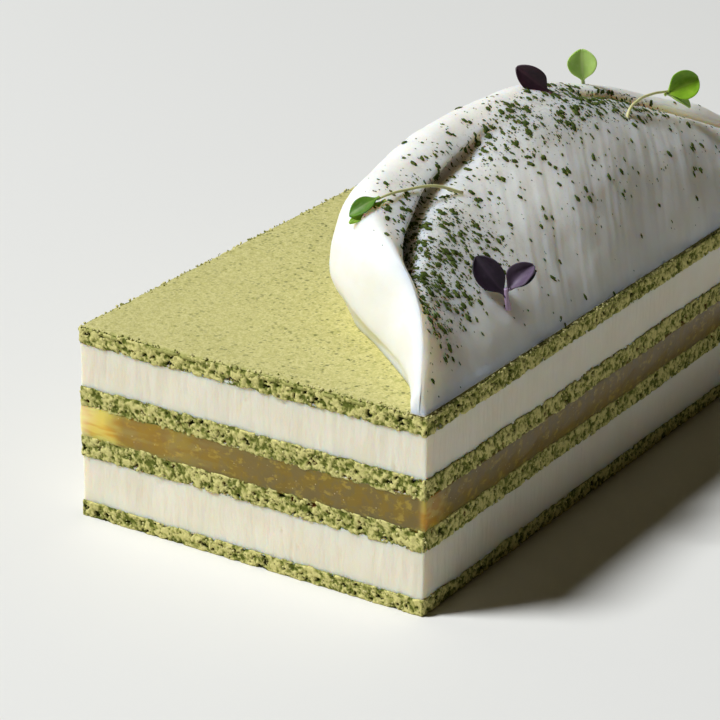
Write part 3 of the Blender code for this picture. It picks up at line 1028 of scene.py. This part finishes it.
class Grains:
    """Many small uneven grains, copied from one round model and joined as one piece."""

    def __init__(self, subdivisions: int, draw: np.random.Generator) -> None:
        """Models the grain, a millimetre wide: 20 faces for 1 subdivision, 80 for 2."""
        bpy.ops.object.select_all(action="DESELECT")
        bpy.ops.mesh.primitive_ico_sphere_add(subdivisions=subdivisions, radius=0.5 * MM)
        model = bpy.context.object
        self.model = points_of(model)
        self.model_faces = np.array([tuple(face.vertices) for face in model.data.polygons])
        bpy.data.objects.remove(model, do_unlink=True)
        self.draw = draw
        self.places: list[Points] = []
        self.faces: list[np.ndarray] = []
        self.total = 0

    def add(self, middle: np.ndarray, axes: np.ndarray, jag: float) -> None:
        """Adds a grain.

        Args:
            middle: Where it lies.
            axes: Its three directions as rows, each as long as the grain is that way.
            jag: How uneven its surface is.
        """
        uneven = 1 + jag * (self.draw.random((len(self.model), 1)) - 0.5)
        self.places.append(middle + (self.model * uneven) @ axes)
        self.faces.append(self.model_faces + self.total)
        self.total += len(self.model)

    def extend(self, other: "Grains") -> None:
        """Takes over another's grains."""
        self.places += other.places
        self.faces += [faces + self.total for faces in other.faces]
        self.total += other.total

    def join(self, name: str, finish: bpy.types.Material, slot: Slot) -> bpy.types.Object:
        """Joins the grains as one dressed piece."""
        piece = mesh_piece(name, np.concatenate(self.places), np.concatenate(self.faces).tolist())
        shade_smooth(piece)
        dress(piece, finish, slot)
        return piece


@dataclass(frozen=True)
class Station:
    """A cut across the wave of cream, in millimetres from the near right corner of the cake's top."""

    along: float
    foot: float
    fold_y: float
    fold_z: float
    lip_y: float
    lip_z: float
    reach: float
    reach_z: float


STATIONS = (
    Station(0.0, 3.2, 1.3, 1.0, 1.7, 1.3, 3.1, 0.5),
    Station(3.0, 4.8, 3.0, 4.4, 3.4, 4.8, 4.8, 2.2),
    Station(8.0, 8.0, 5.8, 8.8, 6.4, 9.3, 9.0, 3.4),
    Station(14.0, 14.6, 10.4, 12.6, 11.4, 13.2, 16.2, 3.8),
    Station(20.0, 21.8, 17.0, 14.2, 19.8, 17.2, 27.4, 6.8),
    Station(27.0, 30.3, 20.8, 16.4, 27.6, 20.4, 35.2, 9.5),
    Station(42.0, 35.0, 25.3, 19.4, 31.2, 23.4, 38.8, 15.0),
    Station(58.0, 33.5, 26.0, 22.4, 31.0, 25.8, 37.0, 19.5),
    Station(75.0, 30.5, 24.4, 25.0, 28.4, 27.5, 33.4, 21.2),
    Station(90.0, 27.0, 21.4, 23.8, 25.0, 24.9, 29.2, 19.0),
    Station(104.0, 22.5, 16.6, 18.6, 20.0, 20.6, 24.4, 14.5),
    Station(118.0, 16.5, 10.4, 11.8, 13.6, 15.0, 18.2, 9.5),
    Station(127.0, 11.0, 6.0, 6.4, 8.4, 8.6, 12.0, 4.6),
    Station(133.0, 5.0, 2.0, 1.5, 3.2, 2.2, 4.9, 0.9),
)
STATION_SIZES = ("foot", "fold_y", "fold_z", "lip_y", "lip_z", "reach", "reach_z")


@dataclass
class Wave:
    """The swept wave of whipped cream: its sections, its folds and the spoon's drag lines on it."""

    node: str = "whipped_cream"
    columns: int = 360
    span_points: tuple[int, ...] = (20, 28, 30, 20, 13, 15, 17, 22, 26, 18)
    edge: float = 0.7
    gap: float = 0.05
    tail: float = 1.2
    streak_lean: float = 1.15
    streak_height: float = 0.09
    steep_climb: tuple[tuple[float, float], ...] = ((0.16, 0.30), (0.43, 0.63), (0.76, 0.90))
    flank: tuple[float, float] = (0.10, 0.42)
    round_climb: tuple[tuple[float, float], ...] = (
        (0.13, 0.26), (0.36, 0.59), (0.62, 0.85), (0.79, 0.945), (0.90, 0.985))
    slack_climb: tuple[tuple[float, float], ...] = (
        (0.20, 0.24), (0.44, 0.54), (0.68, 0.80), (0.84, 0.92), (0.93, 0.975))
    points: Points = field(default_factory=lambda: np.zeros(0))
    normals: Points = field(default_factory=lambda: np.zeros(0))
    along: np.ndarray = field(default_factory=lambda: np.zeros(0))
    share: np.ndarray = field(default_factory=lambda: np.zeros(0))

    def sizes_at(self, along: np.ndarray) -> dict[str, np.ndarray]:
        """The stations' sizes at any places along the wave, smooth between the stations.

        Args:
            along: Distances from the near end in millimetres.

        Returns:
            An array for each of the stations' sizes.
        """
        places = np.array([s.along for s in STATIONS])
        places = np.concatenate([[2 * places[0] - places[1]], places, [2 * places[-1] - places[-2]]])
        here = np.clip(np.searchsorted(places, along) - 1, 1, len(STATIONS) - 1)
        a, b, c, d = (places[here + shift] for shift in (-1, 0, 1, 2))
        t = (along - b) / (c - b)
        found = {}
        for name in STATION_SIZES:
            values = np.array([getattr(s, name) for s in STATIONS])
            values = np.concatenate([[2 * values[0] - values[1]], values, [2 * values[-1] - values[-2]]])
            va, vb, vc, vd = (values[here + shift] for shift in (-1, 0, 1, 2))
            slope_b = (vc - va) / (c - a) * (c - b)
            slope_c = (vd - vb) / (d - b) * (c - b)
            found[name] = ((2 * t**3 - 3 * t**2 + 1) * vb + (t**3 - 2 * t**2 + t) * slope_b
                           + (3 * t**2 - 2 * t**3) * vc + (t**3 - t**2) * slope_c)
        return found

    def folded(self, along: np.ndarray) -> np.ndarray:
        """How sharply the lip folds over the swept face: a first fold, a smooth crest, a second fold."""
        first = ramp(along, 16, 22) * ramp(along, 67, 54)
        second = ramp(along, 82, 88) * ramp(along, 128, 116) * 0.8
        return np.maximum(first, second)

    def sections(self, along: np.ndarray) -> Points:
        """The outline across the slice at each place along it.

        Args:
            along: Distances from the near end in millimetres.

        Returns:
            How far across and how far up each point lies, shaped (places, points, 2).
        """
        at = self.sizes_at(along)
        none = np.zeros_like(along)

        def pair(across: np.ndarray, up: np.ndarray) -> Points:
            """Two arrays as points."""
            return np.stack([across, up], axis=-1)

        def between(first: Points, last: Points, shares: tuple[float, float]) -> Points:
            """A point of the box between two others."""
            return first + (last - first) * np.array(shares)

        start, fold = pair(none + self.edge, none), pair(at["fold_y"], at["fold_z"])
        lip, reach = pair(at["lip_y"], at["lip_z"]), pair(at["reach"], at["reach_z"])
        foot = pair(at["foot"], none)
        creased = [between(start, fold, shares) for shares in self.steep_climb]
        creased += [fold, between(fold, lip, self.flank)]
        slack = ramp(along, 24, 10)[:, None]
        smooth = [between(start, lip, whole) * (1 - slack) + between(start, lip, low) * slack
                  for whole, low in zip(self.round_climb, self.slack_climb)]
        sharp = self.folded(along)[:, None]
        climb = [s + (c - s) * sharp for s, c in zip(smooth, creased)]
        knots = [start, start, *climb, lip, between(lip, reach, (0.62, 0.25)), reach,
                 between(foot, reach, (0.45, 0.42)), foot, foot]
        path = []
        for span, count in enumerate(self.span_points):
            p, q, r, s = (knots[span + shift][:, None] for shift in range(4))
            t = (np.arange(count) / count)[None, :, None]
            path.append(0.5 * (2 * q + (r - p) * t + (2 * p - 5 * q + 4 * r - s) * t**2
                               + (3 * q - p - 3 * r + s) * t**3))
        path.append(foot[:, None])
        return np.concatenate(path, axis=1)

    def share_of_points(self) -> np.ndarray:
        """How far over the section each of its points lies, from 0 at the right edge to 1 at the foot."""
        spans = [span + np.arange(count) / count for span, count in enumerate(self.span_points)]
        return np.append(np.concatenate(spans), len(self.span_points)) / len(self.span_points)

    def lay_out(self) -> None:
        """Lays out the smooth wave as a grid of points, with the way out of the cream at each."""
        even = np.linspace(0, 1, self.columns + 1)
        eased = 0.5 - 0.5 * np.cos(math.pi * even)
        run = STATIONS[-1].along
        along = run * (0.6 * even + 0.4 * eased)
        section = self.sections(along)
        ends = ramp(along, 0, self.tail) * ramp(along, run, run - self.tail)
        base = TOP + self.gap
        across = section[..., 0] - WIDTH / 2
        up = base + np.maximum(section[..., 1], 0) * ends[:, None]
        self.along = np.broadcast_to(along[:, None], across.shape)
        self.share = np.broadcast_to(self.share_of_points()[None, :], across.shape)
        self.points = np.stack([self.along - LENGTH / 2, across, up], axis=-1)
        self.find_normals()

    def find_normals(self) -> None:
        """Works out the way out of the cream at each point of the grid."""
        over = np.gradient(self.points, axis=1)
        down = np.gradient(self.points, axis=0)
        way = np.cross(down, over)
        self.normals = way / np.maximum(np.linalg.norm(way, axis=-1), 1e-9)[..., None]

    def streaks(self) -> np.ndarray:
        """The spoon's drag lines, which lean along the slice as they climb the swept face."""
        climbed = self.points[..., 1] + WIDTH / 2
        line = self.along - self.streak_lean * climbed
        flat = np.stack([line, climbed * 0.06, np.zeros_like(line)], axis=-1).reshape(-1, 3)
        found = 0.6 * soft_noise(flat, 2.8, 201, 2) + 0.5 * soft_noise(flat, 1.2, 202, 2)
        return found.reshape(line.shape)

    def crease_depth(self) -> np.ndarray:
        """How much deeper the crease under the lip is than the smooth wave has it."""
        first = bell(self.share, 0.396, 0.026) * ramp(self.along, 17, 22) * ramp(self.along, 66, 50)
        pocket = bell(self.share, 0.388, 0.040) * bell(self.along, 23.0, 4.5)
        second = bell(self.share, 0.398, 0.022) * ramp(self.along, 83, 88) * ramp(self.along, 126, 112)
        return 0.9 * first + 1.8 * pocket + 0.7 * second

    def shape(self) -> np.ndarray:
        """Moves the grid's points to their full relief.

        Returns:
            The streaks' strength at each point, for the material.
        """
        flat = self.points.reshape(-1, 3)
        swell = 0.40 * soft_noise(flat, 13.0, 211, 2) + 0.09 * soft_noise(flat, 3.5, 212, 2)
        on_face = ramp(self.share, 0.0, 0.03) * ramp(self.share, 0.36, 0.26)
        dragged = on_face * (0.15 + 0.85 * ramp(self.along, 30, 55))
        lines = self.streaks() * dragged
        relief = self.streak_height * lines + swell.reshape(lines.shape) * ramp(self.share, 0, 0.06)
        relief -= self.crease_depth()
        settled = ramp(self.points[..., 2], TOP + self.gap, TOP + 1.6)
        self.points = self.points + self.normals * (relief * settled)[..., None]
        self.points[..., 2] = np.maximum(self.points[..., 2], TOP + self.gap)
        self.find_normals()
        return lines

    def dusted(self) -> np.ndarray:
        """How thickly the powder lies on each point, from 0 to 1."""
        face = ramp(self.share, 0.12, 0.26) * ramp(self.share, 0.44, 0.40)
        front = face * ramp(self.along, 9, 14) * ramp(self.along, 50, 34)
        crest = ramp(self.share, 0.24, 0.34) * ramp(self.share, 0.50, 0.42) * ramp(self.along, 112, 92)
        crest *= ramp(self.along, 42, 66)
        lip = bell(self.share, 0.50, 0.07) * ramp(self.along, 16, 24) * ramp(self.along, 110, 80)
        thin = 0.12 * ramp(self.share, 0.06, 0.2) * ramp(self.share, 0.5, 0.44) * ramp(self.along, 125, 100)
        return np.clip(front + 0.7 * crest + 0.45 * lip + thin, 0, 1)

    def crease_powder_and_shade(self) -> np.ndarray:
        """Where the crease is darkened, from 0 to 1: partly the powder that fills it, partly painted shade.
        """
        line = bell(self.share, 0.396, 0.018) * ramp(self.along, 17, 22) * ramp(self.along, 64, 50)
        pocket = bell(self.share, 0.385, 0.022) * bell(self.along, 23.0, 4.0)
        return np.clip(0.28 * line + 0.45 * pocket, 0, 0.6)

    def make(self, finish: bpy.types.Material) -> bpy.types.Object:
        """Builds, closes and dresses the wave."""
        self.lay_out()
        lines = self.shape()
        rows, points = self.along.shape
        bpy.ops.object.select_all(action="DESELECT")
        bpy.ops.mesh.primitive_grid_add(x_subdivisions=points - 1, y_subdivisions=rows - 1, size=1)
        wave = bpy.context.object
        wave.name = wave.data.name = "whipped_cream_wave"
        place_points(wave, self.points.reshape(-1, 3))
        with editing(wave):
            pick_edges(wave, lambda edge: edge.is_boundary)
            bpy.ops.mesh.edge_face_add()
            turn_outward()
        shade_smooth(wave)
        store(wave, "streak", lines.ravel())
        store(wave, "dust", self.dusted().ravel())
        # Darkening of the crease: partly powder, partly painted shade.
        store(wave, "crease_shade_and_powder", self.crease_powder_and_shade().ravel())
        dress(wave, finish, Slot.WHIPPED, self.node)
        return wave


@dataclass
class Powder:
    """Clumps of green tea powder stuck to the wave, stretched down the slope."""

    wave: Wave
    clumps: int = 900
    specks: int = 2000
    seed: int = 23

    def choose(self, count: int, draw: np.random.Generator) -> tuple[np.ndarray, np.ndarray]:
        """Chooses places on the wave's grid, more of them where the powder lies thickly.

        Args:
            count: How many places.
            draw: Where the random numbers come from.

        Returns:
            The places' rows and columns in the grid.
        """
        thick = self.wave.dusted() ** 1.3 + 0.010
        flat = self.wave.points.reshape(-1, 3)
        patchy = np.clip(0.7 + 0.5 * soft_noise(flat, 5.0, 221, 2), 0.2, 1.2).reshape(thick.shape)
        up = np.linalg.norm(np.gradient(self.wave.points, axis=1), axis=-1)
        wide = np.linalg.norm(np.gradient(self.wave.points, axis=0), axis=-1)
        chance = (thick * patchy * up * wide * (self.wave.share < 0.68)).ravel()
        chosen = draw.choice(len(chance), size=count, replace=False, p=chance / chance.sum())
        return np.unravel_index(chosen, thick.shape)

    def make(self, finish: bpy.types.Material) -> bpy.types.Object:
        """Builds the clumps and the finer specks as one piece and dresses it."""
        draw = np.random.default_rng(self.seed)
        clumps, specks = Grains(2, draw), Grains(1, draw)
        for grains, number, longest in ((clumps, self.clumps, 1.45), (specks, self.specks, 0.6)):
            rows, columns = self.choose(number, draw)
            for row, column in zip(rows, columns):
                up = self.wave.normals[row, column]
                down = np.array([draw.normal(0, 0.35), -1.0, -1.2])
                down -= up * (down @ up)
                down /= max(np.linalg.norm(down), 1e-6)
                long = longest * (0.40 + 0.60 * draw.random() ** 1.5)
                wide = long * (0.40 + 0.30 * draw.random())
                tall = wide * (0.35 + 0.25 * draw.random())
                axes = np.stack([down * long, np.cross(down, up) * wide, up * tall])
                grains.add(self.wave.points[row, column] + up * tall * 0.12, axes, 0.7)
        clumps.extend(specks)
        return clumps.join("tea_powder_on_cream", finish, Slot.WHIPPED)


@dataclass
class Leaf:
    """One seedling leaf: where it leaves its stem, where it ends, and how it cups and folds."""

    finish: LeafFinish
    base: Triple
    tip: Triple
    width: float
    facing: Triple
    cup: float = 0.4
    bend: float = 0.35
    widest: float = 0.85
    fullness: float = 0.62
    thickness: float = 0.28
    stalk: float = 0.55
    rows: int = 18
    columns: int = 12

    def half_width(self, share: np.ndarray) -> np.ndarray:
        """Half the leaf's width: a narrow stalk, widest past the middle, and a rounded tip."""
        body = np.maximum(0.0, np.sin(math.pi * share ** (1 / self.widest))) ** self.fullness
        stalk = self.stalk / 2 * ramp(share, 0.3, 0.0)
        opening = ramp(share, 0.0, 0.35)
        return np.maximum(np.maximum(stalk, self.width / 2 * body * opening), 0.08)

    def make(self, name: str) -> bpy.types.Object:
        """Shapes a flat grid into the leaf, gives it its thickness and smooths it."""
        bpy.ops.object.select_all(action="DESELECT")
        bpy.ops.mesh.primitive_grid_add(x_subdivisions=self.columns, y_subdivisions=self.rows, size=2)
        leaf = bpy.context.object
        leaf.name = leaf.data.name = name
        flat = points_of(leaf) * MM
        across, even = flat[:, 0], (flat[:, 1] + 1) / 2
        share = 0.5 - 0.5 * np.cos(math.pi * even) * (1 - 0.25 * np.sin(math.pi * even) ** 2)
        base, tip = np.array(self.base), np.array(self.tip)
        axis = (tip - base) / np.linalg.norm(tip - base)
        up = np.array(self.facing) - axis * (np.array(self.facing) @ axis)
        up /= np.linalg.norm(up)
        side = np.cross(up, axis)
        half = self.half_width(share)
        ripple = 0.10 * np.abs(across) * np.sin(6.0 * share + 2.0 * across)
        rib = -0.08 * bell(across, 0, 0.12) * ramp(share, 1.0, 0.6)
        curl = self.cup * across**2 * half
        rise = curl + ripple + rib + self.bend * np.sin(math.pi * share)
        narrowed = across * half * np.sqrt(np.clip(1 - (0.55 * self.cup * across) ** 2, 0.1, 1))
        points = base + (tip - base) * share[:, None] + side * narrowed[:, None] + up * rise[:, None]
        place_points(leaf, points)
        ribs = np.abs(np.sin(math.pi * (share * 4.0 - np.abs(across) * 0.8)))
        vein = np.maximum(bell(across, 0, 0.09), 0.5 * ramp(ribs, 0.16, 0.0) * ramp(np.abs(across), 1, 0.6))
        store(leaf, "vein", vein)
        store(leaf, "root", ramp(share, 0.25, 0.0) * 0.7)
        apply_modifier(leaf, "SOLIDIFY", thickness=self.thickness * MM, offset=0.0)
        apply_modifier(leaf, "SUBSURF", levels=1, render_levels=1)
        shade_smooth(leaf)
        return leaf


@dataclass
class Stem:
    """A sprout's stem, tapering along its route."""

    route: tuple[Triple, ...]
    radius: float = 0.36

    def make(self, name: str) -> bpy.types.Object:
        """Bevels a smooth curve through the route and makes it a closed mesh."""
        bpy.ops.object.select_all(action="DESELECT")
        bpy.ops.curve.primitive_nurbs_path_add(location=(0, 0, 0))
        drawn = bpy.context.object
        drawn.name = drawn.data.name = name
        drawn.data.splines.clear()
        spline = drawn.data.splines.new("BEZIER")
        spline.bezier_points.add(len(self.route) - 1)
        for number, (knot, place) in enumerate(zip(spline.bezier_points, self.route)):
            knot.co = Vector(place) * MM
            knot.handle_left_type = knot.handle_right_type = "AUTO"
            knot.radius = 1.15 - 0.35 * number / (len(self.route) - 1)
        drawn.data.resolution_u = 8
        drawn.data.bevel_depth = self.radius * MM
        drawn.data.bevel_resolution = 3
        drawn.data.use_fill_caps = True
        bpy.ops.object.convert(target="MESH")
        stem = bpy.context.object
        with editing(stem):
            bpy.ops.mesh.select_all(action="SELECT")
            bpy.ops.mesh.remove_doubles(threshold=0.00001)
            turn_outward()
        store(stem, "vein", np.zeros(len(stem.data.vertices)))
        store(stem, "root", np.full(len(stem.data.vertices), 0.85))
        shade_smooth(stem)
        return stem


@dataclass
class Sprout:
    """One seedling on the cream: a stem and its leaves, which stand for one solid."""

    node: str
    slot: Slot
    finish: LeafFinish
    stem: Stem
    leaves: tuple[Leaf, ...]

    def make(self) -> None:
        """Builds and dresses the stem and each leaf."""
        dress(self.stem.make(self.node + "_stem"), self.finish.build(), self.slot, self.node)
        for number, leaf in enumerate(self.leaves, 1):
            dress(leaf.make(f"{self.node}_leaf_{number}"), leaf.finish.build(), self.slot, self.node)


PLUM = LeafFinish("plum_leaf", (0.018, 0.008, 0.018), (0.009, 0.004, 0.009), (0.045, 0.024, 0.042), 0.1)
# A lighter copy of the plum leaf for the cupped leaf that faces the light: partly its paler inside, partly
# painted light.
PLUM_BLOOM_AND_LIGHT = LeafFinish("plum_leaf_bloom_and_light", (0.160, 0.112, 0.170), (0.100, 0.066, 0.106), (0.220, 0.160, 0.225), 0.1)
WINE = LeafFinish("wine_leaf", (0.034, 0.010, 0.018), (0.014, 0.005, 0.009), (0.080, 0.030, 0.038), 0.1)
LILAC = LeafFinish("lilac_stem", (0.330, 0.220, 0.330), (0.250, 0.160, 0.250), (0.420, 0.300, 0.420))
GREEN = LeafFinish("green_leaf", (0.110, 0.250, 0.012), (0.060, 0.150, 0.006), (0.300, 0.380, 0.080), 0.4)
LIME = LeafFinish("lime_leaf", (0.270, 0.470, 0.020), (0.180, 0.350, 0.012), (0.460, 0.560, 0.120), 0.4)
PALE = LeafFinish(
    "pale_green_leaf", (0.440, 0.610, 0.160), (0.350, 0.520, 0.110), (0.600, 0.680, 0.340), 0.5)
STRAW = LeafFinish("straw_stem", (0.620, 0.580, 0.280), (0.520, 0.500, 0.200), (0.660, 0.620, 0.330), 0.4)

SPROUTS = (
    Sprout(
        "purple_sprout_front", Slot.PURPLE, LILAC,
        Stem(((-35.4, -28.6, 39.9), (-35.9, -28.5, 41.6), (-36.0, -28.3, 43.6)), 0.42),
        (
            Leaf(PLUM, (-36.1, -28.5, 42.2), (-36.1, -22.7, 47.8), 4.7, (-0.78, -0.42, 0.34), 0.35),
            Leaf(PLUM_BLOOM_AND_LIGHT, (-36.0, -28.3, 43.0), (-30.8, -30.3, 46.3), 4.2, (-0.60, -0.30, 0.74),
                 cup=0.75, bend=0.5, widest=1.25, fullness=0.6),
            Leaf(PLUM, (-35.6, -28.8, 43.4), (-30.6, -30.7, 45.4), 1.6, (-0.30, -0.75, 0.20), 0.3, 0.2),
        ),
    ),
    Sprout(
        "purple_sprout_crest", Slot.PURPLE, WINE,
        Stem(((17.0, -15.0, 56.4), (13.6, -11.6, 58.6), (10.6, -9.4, 60.3)), 0.40),
        (Leaf(WINE, (10.9, -9.6, 60.2), (8.4, -4.2, 64.5), 4.3, (-0.84, -0.46, 0.30),
              bend=0.3, widest=0.95, fullness=0.6),),
    ),
    Sprout(
        "green_sprout_lip", Slot.GREEN, STRAW,
        Stem(((-22.6, -12.2, 52.4), (-26.6, -9.5, 54.2), (-32.9, -7.5, 54.9), (-38.3, -7.0, 55.4),
              (-39.9, -6.6, 55.2)), 0.24),
        (
            Leaf(GREEN, (-39.6, -6.9, 55.6), (-43.8, -3.9, 52.9), 3.0, (-0.62, -0.10, 0.78), 0.3),
            Leaf(LIME, (-38.6, -7.4, 54.9), (-44.4, -4.2, 52.0), 1.9, (-0.70, -0.45, 0.55), 0.2),
        ),
    ),
    Sprout(
        "green_leaf_back", Slot.PALE_GREEN, PALE,
        Stem(((25.0, -8.6, 56.6), (25.0, -8.5, 57.8), (24.9, -8.4, 58.8)), 0.36),
        (Leaf(PALE, (24.9, -8.5, 58.0), (24.6, -8.0, 64.3), 5.4, (-0.85, -0.44, 0.20),
              bend=0.3, widest=0.62, fullness=0.55),),
    ),
    Sprout(
        "green_sprout_far", Slot.GREEN, STRAW,
        Stem(((23.3, -18.2, 52.4), (25.0, -17.6, 54.6), (28.4, -17.4, 55.6), (33.4, -17.6, 55.6),
              (39.4, -17.8, 54.6)), 0.28),
        (
            Leaf(LIME, (38.6, -17.6, 54.1), (45.0, -21.0, 56.2), 5.4, (-0.86, -0.42, 0.30),
                 bend=0.3, widest=0.95, fullness=0.55),
            Leaf(PALE, (38.8, -17.8, 54.4), (43.5, -20.5, 51.2), 3.4, (-0.40, -0.30, 0.86), 0.3),
        ),
    ),
)


@dataclass
class Studio:
    """The camera at the photograph's angle, the soft key light and the pale floor."""

    camera_place: Triple = (-426.05, -243.87, 216.24)
    azimuth: float = -58.1405
    elevation: float = 22.6016
    roll: float = 1.0043
    lens: float = 151.51
    to_light: Triple = (-0.41, 0.456, 0.79)
    light_distance: float = 3.0
    light_size: float = 0.80
    light_power: float = 110.0
    light_colour: Colour = (0.955, 1.0, 1.07)
    fill: float = 0.020
    fill_colour: Colour = (1.0, 0.80, 0.46)
    floor_colour: Colour = (0.82, 0.795, 0.73)
    floor_drop: float = 0.05

    def set_camera(self) -> None:
        """Places the camera as the photograph was taken."""
        az, el, roll = (math.radians(a) for a in (self.azimuth, self.elevation, self.roll))
        level = Vector((math.cos(az), math.sin(az), 0))
        forward = Vector((-math.sin(az) * math.cos(el), math.cos(az) * math.cos(el), -math.sin(el)))
        upright = level.cross(forward)
        right = level * math.cos(roll) + upright * math.sin(roll)
        up = upright * math.cos(roll) - level * math.sin(roll)
        bpy.ops.object.camera_add(location=Vector(self.camera_place) * MM)
        camera = bpy.context.object
        camera.rotation_euler = Matrix((right, up, -forward)).transposed().to_euler()
        camera.data.lens = self.lens
        camera.data.sensor_width = 36.0
        camera.data.clip_start = 0.01
        bpy.context.scene.camera = camera

    def set_lights(self) -> None:
        """Hangs the key light behind and to the left, over a faint even fill."""
        towards = Vector(self.to_light).normalized()
        bpy.ops.object.light_add(type="AREA", location=towards * self.light_distance)
        key = bpy.context.object
        key.name = "key_light"
        key.rotation_euler = towards.to_track_quat("Z", "Y").to_euler()
        key.data.shape = "DISK"
        key.data.size = self.light_size
        key.data.energy = self.light_power
        key.data.color = self.light_colour
        world = bpy.data.worlds.new("studio")
        world.use_nodes = True
        world.node_tree.nodes["Background"].inputs["Color"].default_value = (*self.fill_colour, 1.0)
        world.node_tree.nodes["Background"].inputs["Strength"].default_value = self.fill
        bpy.context.scene.world = world
        bpy.context.scene.view_settings.view_transform = "Standard"

    def set_floor(self) -> None:
        """Lays a wide pale floor just under the slice."""
        bpy.ops.mesh.primitive_plane_add(size=12, location=(0, 0, -self.floor_drop * MM))
        floor = bpy.context.object
        floor.name = "floor"
        graph = Graph("pale_floor")
        floor.data.materials.append(graph.finish(base_color=self.floor_colour, roughness=0.7,
                                                 specular_ior_level=0.2))


def main() -> None:
    """Builds the studio and then every piece of the slice."""
    logging.basicConfig(level=logging.INFO, format="%(name)s: %(message)s")
    studio = Studio()
    studio.set_camera()
    studio.set_lights()
    studio.set_floor()
    sponge, cream = SpongeFinish().build(), CreamFinish().build()
    SpongeLayer("sponge_base", 0, 0.17, 14).make(sponge, Slot.SPONGE)
    CreamLayer("cream_lower", 1, 0.4, 24).make(cream, Slot.CREAM)
    SpongeLayer("sponge_lower", 2, 0.17, 18, syrup_side=1.0).make(sponge, Slot.SPONGE)
    JellyLayer("jelly_layer", 3, 0.4, 17).make(JellyFinish().build(), Slot.JELLY)
    SpongeLayer("sponge_upper", 4, 0.17, 18, syrup_side=0.0).make(sponge, Slot.SPONGE)
    CreamLayer("cream_upper", 5, 0.4, 22).make(cream, Slot.CREAM)
    SpongeLayer("sponge_top", 6, 0.17, 18, under_skin=0.35).make(sponge, Slot.SPONGE)
    SpongeSkin().make(SkinFinish().build())
    Crumbs().make(CrumbFinish().build())
    wave = Wave()
    wave.make(WhippedFinish().build())
    Powder(wave).make(PowderFinish().build())
    for sprout in SPROUTS:
        sprout.make()


if __name__ == "__main__":
    main()
